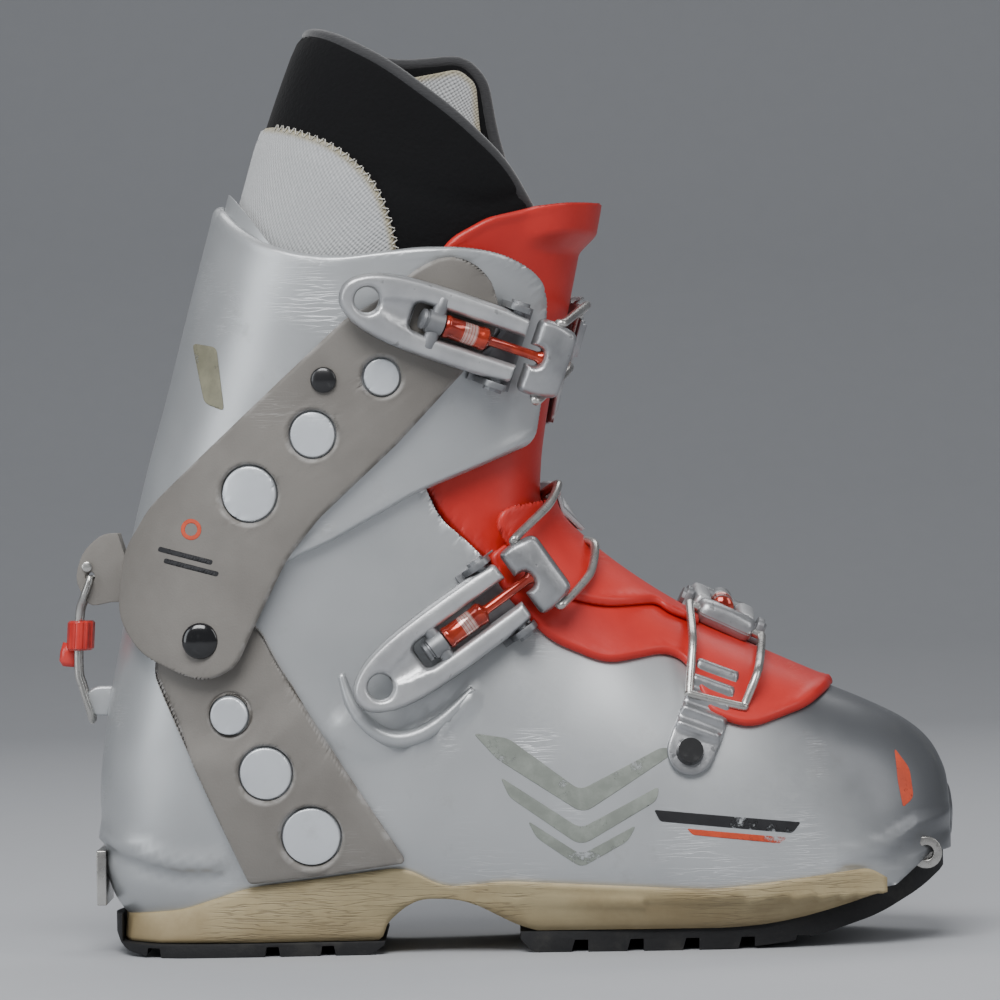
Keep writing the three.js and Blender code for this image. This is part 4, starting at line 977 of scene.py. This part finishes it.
shade = Shade("insole_board")
fibre = shade.noise(220, 4, stretch=(1, 5, 5))
board = shade.finish(shade.mix(fibre, (0.05, 0.05, 0.05), (0.1, 0.095, 0.09)), fibre * 0.1 + 0.75, fibre,
                     0.0002, 0.5)
softened("boot_board", "insole_board", board, 0.5, "shell", "board")


def metal(name, dark, light, rough, grain=600, polish=0.9, nicks=0.35, depth=0.00015, stretch=None):
    shade = Shade(name, Metallic=polish)
    fine = shade.noise(grain, 3, stretch=stretch)
    broad = shade.noise(60, 4)
    scuff = shade.scratches(90, 0.05, (0.4, 1.1, 0.7), nicks)
    tone = shade.mix(broad.ramp(0.3, 0.7), dark, light)
    tone = shade.mix(scuff * 0.4, tone, tuple(min(1, c * 1.35) for c in light))
    pits = shade.noise(240, 2).ramp(0.66, 0.74)
    tone = shade.mix(pits * 0.5, tone, tuple(c * 0.35 for c in dark))
    return shade.finish(tone, fine * 0.14 + rough + broad * 0.08, fine * 0.5 + scuff * -0.8 - pits * 0.5,
                        depth, 0.6)


steel = metal("bright_steel", (0.42, 0.41, 0.39), (0.62, 0.61, 0.58), 0.18)
dull_alloy = metal("dull_alloy", (0.2, 0.205, 0.215), (0.3, 0.305, 0.315), 0.36, polish=0.8)
for word in ("lateral", "medial"):
    softened(f"toe_fitting_{word}", f"toe_socket_{word}", steel, 0.25, "shell", "steel")
softened("heel_fitting", "heel_plate", steel, 0.35, "shell", "steel")
softened("heel_fitting_screw", "heel_plate_screw", steel, 0.15, "shell", "steel")


def turned(name, foot, axis, side, profile, material, sides=40):
    """A turned piece: profile holds (distance along axis, radius) in millimetres."""
    foot, axis, side = (np.array(v, float) for v in (foot, axis, side))
    other = np.cross(axis, side)
    verts, faces = [], []
    for along, radius in profile:
        for k in range(sides):
            a = 2 * math.pi * k / sides
            verts.append((foot + axis * along + radius * (math.cos(a) * side + math.sin(a) * other)) * MM)
    for i in range(len(profile) - 1):
        for k in range(sides):
            a, b = i * sides + k, i * sides + (k + 1) % sides
            faces.append((a, b, b + sides, a + sides))
    faces += [tuple(range(sides))[::-1], tuple((len(profile) - 1) * sides + k for k in range(sides))]
    obj = new_object(name, verts, faces, material)
    layer = obj.data.attributes.new("run", "FLOAT", "POINT")
    layer.data.foreach_set("value", np.repeat([p[0] for p in profile], sides).astype(np.float32))
    obj.data.set_sharp_from_angle(angle=math.radians(40))
    return obj


def dome(radius, height, start=0.0, count=7):
    """A domed head's profile."""
    turn = np.linspace(0, math.pi / 2, count)
    crown = [(start + 0.3 * height + 0.7 * height * math.sin(a), max(0.05, radius * math.cos(a)))
             for a in turn]
    return [(start, radius)] + crown


# ================================================================ pivots and rivets
# The cuff turns on two steel pins with glossy black domed heads. A black rivet near the middle of
# each upper stringer ties it to the cuff.
def glossy_black(name, rough):
    shade = Shade(name, Coat_Weight=0.5, Coat_Roughness=0.08)
    spots = shade.noise(400, 3)
    lines = shade.scratches(120, 0.04, (0.3, 0.8, 0.1), 0.4)
    tone = shade.mix(lines * 0.5 + spots.ramp(0.6, 0.8) * 0.3, (0.006, 0.006, 0.007), (0.07, 0.07, 0.07))
    return shade.finish(tone, spots * 0.1 + rough, lines * -1 + spots * 0.3, 0.0001, 0.5)


gloss_black = glossy_black("pivot_black", 0.12)
satin_black = glossy_black("rivet_black", 0.3)
for side, word in ((-1, "lateral"), (1, "medial")):
    for node, x, z, radius, height, paint, body in (
            (f"ankle_pivot_{word}", 0, 109, 6.2, 2.6, gloss_black, "shell"),
            (f"cuff_rivet_{word}", 43.9, 196.7, 4.4, 1.7, satin_black, "cuff")):
        uv = on_side([(x, z)], side, 7.4)
        foot = form(*uv.T, 7.3)[0]
        normal = outward(uv, 7.4)[0] if "rivet" in node else np.array([0, side, 0.0])
        normal = normal * np.sign(normal[1] * side)
        head = turned(node + "_head", foot, normal, np.cross(normal, (0, 0, 1)),
                      [(-8, 2.6), (0.05, 2.6), (0.06, radius - 0.2)] + dome(radius, height, 0.3), paint)
        settle(head, body, "black_trim", node)

# ================================================================ buckles
# Three forged alloy buckles. A lever turns on two pins in a base riveted to the boot; a rod hangs
# in its slot from a trunnion, and the threaded barrel on it sets how far the wire bail reaches.
# foot is the lever's pivot, pull points to the strap and out points off the boot. The trunnion and the
# lever's length are measured along pull, and around holds the bail's bends as (station, angle, layer).
BUCKLES = {
    "upper": dict(foot=(106, -50.2, 207), pull=(0.907876, 0.278962, -0.312957),
                  out=(0.247499, -0.959156, -0.136982),
                  trunnion=-26.5, bend=4, length=61, base="cuff", catch=(15.1, -0.14, 4.2 + 1.7),
                  around=([(14.2, 0.3, 8)], [(16, 0.3, 9)]), block=(7.8, 22.5, 12.8), lift=0.0),
    "instep": dict(foot=(102.6, -46.5, 121.6), pull=(0.815357, 0.100044, 0.57025),
                   out=(0.100781, -0.994445, 0.030365), trunnion=-26.5, bend=0, length=61, base="shell",
                   catch=(9.9, -0.06, 6.1 + 2), around=([(9, 0.55, 9), (9, 0.3, 10)],
                                                        [(10.7, 0.5, 10.5), (10.7, 0.25, 10.5)]),
                   block=(7.8, 22.0, 12.6), lift=2.2),
    "toe": dict(foot=(180, 8, 113.5), pull=(0, -0.979804, -0.19996), out=(0.438083, -0.179751, 0.880779),
                trunnion=-17, bend=50, length=54, base="shell", catch=(6.6, 0.84, 3.3 + 2),
                around=([(7, 0.55, 8)], [(5.9, 0.6, 9)]), block=(8.2, 18.5, 10.8), lift=0.0),
}
lever_alloy = metal("lever_alloy", (0.47, 0.475, 0.485), (0.6, 0.605, 0.61), 0.27, grain=900, polish=0.7)
block_alloy = metal("block_alloy", (0.3, 0.305, 0.315), (0.45, 0.455, 0.465), 0.26, grain=900, polish=0.85)
shade = Shade("barrel_red", Metallic=0.55, Coat_Weight=0.8, Coat_Roughness=0.06)
run = shade.attribute("run")
ticks = (run * 6.0).sine().ramp(0.6, 0.8)
marks_run = run.ramp(-17.0, -16.8) * (1 - run.ramp(-12.2, -12.0)) * (1 - ticks * 0.7)
cloud = shade.noise(200, 2)
tone = shade.mix(cloud.ramp(0.3, 0.7), (0.28, 0.018, 0.008), (0.5, 0.045, 0.015))
red_metal = shade.finish(shade.mix(marks_run * 0.55, tone, (0.8, 0.72, 0.66)), cloud * 0.08 + 0.14)
BAIL_R = 1.5

for word, spec in BUCKLES.items():
    foot, u, n = (np.array(spec[k], float) for k in ("foot", "pull", "out"))
    w = np.cross(u, n)
    bend, start = math.radians(spec["bend"]), -14.0
    low_a = -spec["length"]

    def lever_place(a, b, c, foot=foot, u=u, w=w, n=n, bend=bend, low_a=low_a):
        a, b, c = np.broadcast_arrays(np.asarray(a, float), b, c)
        thin = np.clip((-a - 22) / (-low_a - 22), 0, 1)
        c = c * (1 - 0.42 * thin) + 0.9 * thin
        over = np.clip(start - a, 0, None)
        along = np.where(a < start, start - over * math.cos(bend) - c * math.sin(bend), a)
        rise = np.where(a < start, c * math.cos(bend) - over * math.sin(bend), c)
        return foot + along[..., None] * u + b[..., None] * w + rise[..., None] * n

    slot = 4.9
    tail_slot = spec["trunnion"] - 8
    tip = tail_slot - 13
    half = [(5, slot), (5, 11.4, 2), (-3, 12.3, 6), (-24, 12.6, 8), (low_a + 20, 11.9, 8),
            (low_a + 9, 9.6, 7), (low_a + 1.5, 5.0, 5), (low_a, 0, 4)]
    other_half = [(c[0], -c[1], *c[2:]) for c in half[:-1]][::-1]
    outline = half + other_half + [(tail_slot, -slot, 2.5), (tail_slot, slot, 2.5)]
    hole = circle(low_a + 10, 0, 4.3, 40)

    def groove(uv, p, far, tail_slot=tail_slot, tip=tip):
        t = np.clip((tail_slot - uv[:, 0]) / (tail_slot - tip), 0, 1)
        wide = 4.9 * np.sqrt(np.clip(1 - t ** 1.6, 0, 1)) + 1e-3
        inside_it = np.clip(1 - (uv[:, 1] / wide) ** 2, 0, 1) * (uv[:, 0] < tail_slot + 0.4) * (t < 1)
        shoulder = np.clip(1 - far / 3.4, 0, 1) ** 2 * 0.9
        return -2.9 * np.sqrt(inside_it) * (1 - t) ** 0.35 - shoulder

    lever = plate(f"{word}_buckle_lever", [spaced(rounded(outline), 1.2), hole], -3.6, 4.3, lever_alloy,
                  1.5, 1.0, groove, place=lever_place, scale=(1, 1))
    settle(lever, f"{word}_lever", "alloy", f"{word}_lever")

    def straight(a, b, c, foot=foot, u=u, w=w, n=n):
        a, b, c = np.broadcast_arrays(np.asarray(a, float), b, c)
        return foot + a[..., None] * u + b[..., None] * w + c[..., None] * n

    at = lambda a, b, c: foot + a * u + b * w + c * n
    # the trunnion: a cross pin carrying a short grey sleeve
    pin = turned(f"{word}_trunnion_pin", at(spec["trunnion"], 0, 1.2), w, u,
                 [(-9, 2.2), (-8.6, 2.5), (-4.4, 2.5), (-4.3, 2.5), (4.3, 2.5), (4.4, 2.5), (8.6, 2.5),
                  (9, 2.2)], dull_alloy)
    sleeve = turned(f"{word}_trunnion_sleeve", at(spec["trunnion"], 0, 1.2), u, w,
                    [(-5.6, 2.6), (-5.2, 3.4), (-4.2, 3.6), (-3.9, 3.1), (-3.4, 3.1), (-3.1, 4.0),
                     (2.3, 4.0), (2.6, 3.6)],
                    dull_alloy)
    settle(pin, f"{word}_trunnion", "steel", f"{word}_trunnion")
    settle(sleeve, f"{word}_trunnion", "steel")
    # the threaded barrel, its thin neck and the ball that sits in the block
    far_end = spec["trunnion"] + (19 if word != "toe" else 12)
    barrel = turned(f"{word}_tension_barrel", at(0, 0, 1.2), u, w,
                    [(spec["trunnion"] + 2.8, 2.4), (spec["trunnion"] + 3.0, 3.6),
                     (spec["trunnion"] + 3.5, 4.0), (spec["trunnion"] + 4.6, 4.0),
                     (spec["trunnion"] + 4.9, 3.75), (far_end - 3, 3.75), (far_end - 2.6, 4.0),
                     (far_end - 0.8, 4.0), (far_end, 3.3), (far_end + 0.6, 2.0), (far_end + 1.4, 1.7),
                     (10.4, 1.7), (11.2, 2.0), (12.0, 2.6), (13.0, 2.7), (13.8, 2.3), (14.3, 1.2)], red_metal)
    settle(barrel, f"{word}_barrel", "red_alloy", f"{word}_barrel")

    # the block: a saddle with a socket for the ball in front and the bail's ends in its sides
    first, last, wide = spec["block"]
    outline = [(first, 3.4), (first, wide, 2), (first + 5, wide + 0.6, 3), (last, wide - 1.2, 3),
               (last, -wide + 1.2, 3), (first + 5, -wide - 0.6, 3), (first, -wide, 2), (first, -3.4),
               (first + 4.6, -3.2, 3), (first + 4.6, 3.2, 3)]

    def saddle_top(uv, p, far, first=first, last=last, wide=wide):
        t = (uv[:, 0] - first) / (last - first)
        across = np.abs(uv[:, 1]) / wide
        crown = 1.5 * np.sin(np.clip(t, 0, 1) * math.pi) * (1 - 0.5 * across)
        return crown - 0.9 * np.clip(t - 0.6, 0, 1) * 2 - 0.5 * across ** 3

    block = plate(f"{word}_bail_block", [spaced(rounded(outline), 0.9)], -3.0, 4.6, block_alloy, 2.0, 0.9,
                  saddle_top, place=straight, scale=(1, 1))
    settle(block, f"{word}_block", "alloy", f"{word}_block")

    # the bail: one bent steel wire from the block round the strap's ridge
    s, turn, d = spec["catch"]
    seat_uv = np.array([[s, turn]])
    seat, normal = form(*seat_uv.T, d)[0], outward(seat_uv, d)[0]
    away = seat - at(17.5, 0, 0)
    away -= normal * (away @ normal)
    away /= np.linalg.norm(away)
    bar = np.cross(away, normal)
    bar = -bar if bar @ w < 0 else bar
    centre = seat + normal * (BAIL_R + 0.3 + spec["lift"])
    legs = []
    for side, way in zip((1, -1), spec["around"]):
        legs.append([at(14.5, side * 7.2, 1.2), at(14.5, side * 12.9, 1.2), at(16.3, side * 13.9, 1.2)]
                    + [form(np.array([q]), np.array([a]), np.array([e]))[0] for q, a, e in way]
                    + [centre + bar * side * 9.8 - away * 1.5, centre + bar * side * 8.6])
    bends = np.array(legs[0] + legs[1][::-1])
    ends = np.concatenate([[2 * bends[0] - bends[1]], bends, [2 * bends[-1] - bends[-2]]])
    wire = []
    for k in range(len(bends) - 1):
        p0, p1, p2, p3 = ends[k:k + 4]
        m1, m2 = 0.35 * (p2 - p0), 0.35 * (p3 - p1)
        for t in np.linspace(0, 1, 8, endpoint=False):
            wire.append((2 * t ** 3 - 3 * t ** 2 + 1) * p1 + (t ** 3 - 2 * t ** 2 + t) * m1
                        + (3 * t ** 2 - 2 * t ** 3) * p2 + (t ** 3 - t ** 2) * m2)
    wire.append(bends[-1])
    settle(tube_along(f"{word}_wire_bail", wire, BAIL_R, steel, 14), f"{word}_bail", "steel", f"{word}_bail")
    softened(f"{word}_buckle_base", f"{word}_buckle_base_plate", dull_alloy, 0.35, spec["base"], "alloy", 2)

softened("upper_ladder", "upper_strap_ladder", block_alloy, 0.3, "cuff", "alloy", 2)
softened("instep_ladder", "instep_strap_ladder", lever_alloy, 0.5, "shell", "alloy", 2)

# The toe strap: a pressed plate with five rounded ridges, riveted low on the outer side.
strap = [(178, 100, 3), (185.5, 97.5, 3), (176.4, 71.6, 3), (174.6, 68, 4), (172.2, 62.4, 6),
         (165.5, 59.7, 6), (159.2, 62.8, 6), (157.4, 69.4, 6), (159.5, 75, 4), (170.5, 102, 3)]


def ridges(uv, p, far):
    lift = np.zeros(len(p))
    for k in range(5):
        x, z = 168.6 + k * 1.95, 75.4 + k * 4.9
        lift = np.maximum(lift, np.sqrt(near_line(p, [(x - 6.0, z + 2.3), (x + 6.0, z - 2.3)], 2.0)) * 2.0)
    return lift


toe_strap = plate("toe_strap_ladder", [loop_on(strap, -1, 1.0, 2.6)], 0.4, 2.6, block_alloy, 0.9, 0.8, ridges)
settle(toe_strap, "shell", "alloy", "toe_ladder")
uv = on_side([(165.6, 68.4)], -1, 2.6)
normal = outward(uv, 2.6)[0]
settle(turned("toe_strap_rivet", form(*uv.T, 2.4)[0], normal, np.cross(normal, (0, 0, 1)),
              [(-3, 4.4)] + dome(5.0, 1.2, 0.1),
              satin_black), "shell", "black_trim")

# ================================================================ heel lock
# A steel wire hangs from a grey bracket on the cuff and hooks under a lug on the shell, locking the
# cuff forward. The red sleeve on it slides down to keep it shut.
softened("lock_bracket", "lock_bracket_ears", bracket_grey, 0.8, "cuff", "grey_stringer", 3)
softened("lock_hook", "lock_hook_lug", silver, 0.9, "shell", "silver_shell", 3)
settle(turned("lock_bracket_pin", (-41.5, -7.3, 134.5), (0, 1, 0), (1, 0, 0),
       [(-0.6, 1.2), (-0.4, 1.7), (14.9, 1.7), (15.1, 1.2)], steel),
       "cuff", "steel")
bends = np.array([(-40.5, -7.9, 131), (-41, -8.6, 128.6), (-42.8, -8.2, 124), (-44.9, -4.8, 117.5),
                  (-45.6, -4.6, 99), (-44.4, -4.6, 93), (-42, -4.6, 85), (-41.2, -3.4, 81.4),
                  (-41, 0, 80.6)], float)
bends = np.concatenate([bends, (bends * (1, -1, 1))[::-1][1:]])
smooth = []
ends = np.concatenate([[2 * bends[0] - bends[1]], bends, [2 * bends[-1] - bends[-2]]])
for k in range(len(bends) - 1):
    p0, p1, p2, p3 = ends[k:k + 4]
    for t in np.linspace(0, 1, 6, endpoint=False):
        smooth.append(p1 + 0.5 * t * (p2 - p0) + t * t * (p0 - 2.5 * p1 + 2 * p2 - 0.5 * p3)
                      + t ** 3 * (1.5 * p1 - 0.5 * p0 - 1.5 * p2 + 0.5 * p3))
smooth.append(bends[-1])
settle(tube_along("lock_wire_loop", smooth, 1.25, steel, 14), "lock_wire", "steel", "lock_wire")
shade = Shade("sleeve_red", Coat_Weight=0.3, Coat_Roughness=0.2)
cloud = shade.noise(120, 3)
sleeve_red = shade.finish(shade.mix(cloud.ramp(0.3, 0.7), (0.5, 0.02, 0.015), (0.62, 0.04, 0.03)),
                          cloud * 0.1 + 0.25, cloud, 0.0002, 0.4)
verts, faces = [], []
heights = [(115.6, 0.86), (114.9, 1.0), (106.0, 1.0), (105.3, 0.86)]
count = 96
for z, grow in heights:
    for k in range(count):
        a = 2 * math.pi * k / count
        rib = 1 + 0.055 * (1 if math.sin(12 * a) > 0 else 0)
        verts.append((-44.9 + (z - 107.5) * 0.06 + 4.5 * grow * rib * math.cos(a),
                      7.6 * grow * rib * math.sin(a), z))
for i in range(len(heights) - 1):
    for k in range(count):
        a, b = i * count + k, i * count + (k + 1) % count
        faces.append((a, a + count, b + count, b))
faces += [tuple(range(count)), tuple(range(3 * count, 4 * count))[::-1]]
grip = new_object("lock_sleeve", np.array(verts) * MM, faces, sleeve_red)
grip.data.set_sharp_from_angle(angle=math.radians(35))
settle(grip, "lock_grip", "red_alloy", "lock_grip")
tab = tube_along("lock_sleeve_tab", [(-47.8, 0, 107.4), (-48.6, 0, 104.2), (-49.2, 0, 101.2),
                                     (-49.4, 0, 99.6)], [1.5, 1.6, 1.5, 0.9], sleeve_red, 16, oval=2.2)
settle(tab, "lock_grip", "red_alloy")

# ================================================================ rear spoiler
# A silver plastic spoiler stands between the cuff and the back of the liner. It is held by the cuff
# and sets how far the boot leans forward.
softened("rear_spoiler", "rear_lean_spoiler", silver, 0.8, "cuff", "grey_stringer", 3)

# ================================================================ printed marks
# Thin pad-printed marks: pale bars on the shell's outer side, a dark and an orange dash by the
# forefoot, and small coloured marks on the toe, the rear of the cuff and the stringer. All are plain.
def ink(name, colour, cover):
    shade = Shade(name, Specular_IOR_Level=0.4)
    worn = shade.noise(120, 5, 0.7)
    tone = shade.mix(worn.ramp(0.35, 0.7), tuple(c * 0.85 for c in colour),
                     tuple(min(1, c * 1.15) for c in colour))
    shade.feed(shade.bsdf.inputs["Alpha"], (1 - shade.noise(70, 6, 0.75).ramp(0.55, 0.66)) * cover)
    return shade.finish(tone, worn * 0.2 + 0.35)


pale_ink = ink("pale_ink", (0.3, 0.325, 0.29), 0.75)
dark_ink = ink("dark_ink", (0.02, 0.02, 0.022), 0.95)
orange_ink = ink("orange_ink", (0.6, 0.075, 0.03), 0.9)
gold_ink = ink("gold_ink", (0.25, 0.24, 0.17), 0.8)
PRINTS = (
    ("shell_print_upper", [(92, 76, 2), (104, 74, 2), (128, 56, 3), (156, 70, 2), (162, 69, 2),
                           (129, 48, 4), (100, 67, 2)], 0, pale_ink, "shell"),
    ("shell_print_middle", [(101, 61, 2), (128, 43, 3), (155, 57, 2), (154, 52, 2), (128, 37, 4),
                            (104, 54, 2)], 0, pale_ink, "shell"),
    ("shell_print_lower", [(110, 46, 2), (128, 34, 3), (147, 44, 2), (144, 38.5, 2), (128, 29.5, 3),
                           (113, 40, 2)], 0, pale_ink, "shell"),
    ("shell_dash_dark", [(153, 49, 1), (203, 43.6, 1), (200, 40, 1), (155, 45, 1)], 0, dark_ink, "shell"),
    ("shell_dash_orange", [(164, 42.4, 0.8), (198, 38.6, 0.8), (196, 36.6, 0.8), (166, 40.2, 0.8)], 0,
     orange_ink, "shell"),
    ("toe_print", [(237, 67, 1.5), (242, 60, 2), (243, 50, 2), (239, 47, 1), (237.5, 56, 1)], 0,
     orange_ink, "shell"),
    ("cuff_print", [(-2, 211, 2), (7, 209, 2), (9.5, 187, 2), (2.5, 190, 2)], 3.95, gold_ink, "cuff"),
)
for word, outline, d, paint, body in PRINTS:
    print_plate = plate(word, [loop_on(outline, -1, 1.0, d)], d + 0.05, d + 0.13, paint, 0.3, 1.4)
    settle(print_plate, body, "silver_shell")
ring = [on_side(circle(-2.5, 147, 3.6, 40), -1, 7.4), on_side(circle(-2.5, 147, 2.2, 32), -1, 7.4)]
settle(plate("stringer_print", ring, 7.42, 7.5, orange_ink, 0.3, 1.0), "cuff", "grey_stringer")
for k, (z, x) in enumerate(((139, -5), (135, -3))):
    bar = [(x - 9, z + 2.4, 0.8), (x + 10, z - 2.6, 0.8), (x + 9.4, z - 4.2, 0.8), (x - 9.6, z + 0.8, 0.8)]
    settle(plate(f"stringer_dash_{k + 1}", [loop_on(bar, -1, 1.0, 7.4)], 7.42, 7.5, dark_ink, 0.3, 1.0),
           "cuff", "grey_stringer")

# ================================================================ floor and backdrop
# A sheet of pale paper lies under the boot and curves up behind it. It is the stage and no piece
# of the boot.
sweep = [(-4.0, 0), (1.5, 0), (1.9, 0.04), (2.2, 0.16), (2.45, 0.36), (2.6, 0.6), (2.7, 1.0), (2.72, 1.6),
         (2.72, 4.0)]
verts, faces = [], []
for y, z in sweep:
    verts += [(-4, y, z), (4, y, z)]
for i in range(len(sweep) - 1):
    faces.append((2 * i, 2 * i + 1, 2 * i + 3, 2 * i + 2))
shade = Shade("backdrop_paper")
fibres = shade.noise(60, 3)
paper = shade.finish(shade.mix(fibres, (0.40, 0.41, 0.43), (0.42, 0.43, 0.45)), fibres * 0.1 + 0.8)
backdrop = new_object("paper_sweep", verts, faces, paper)
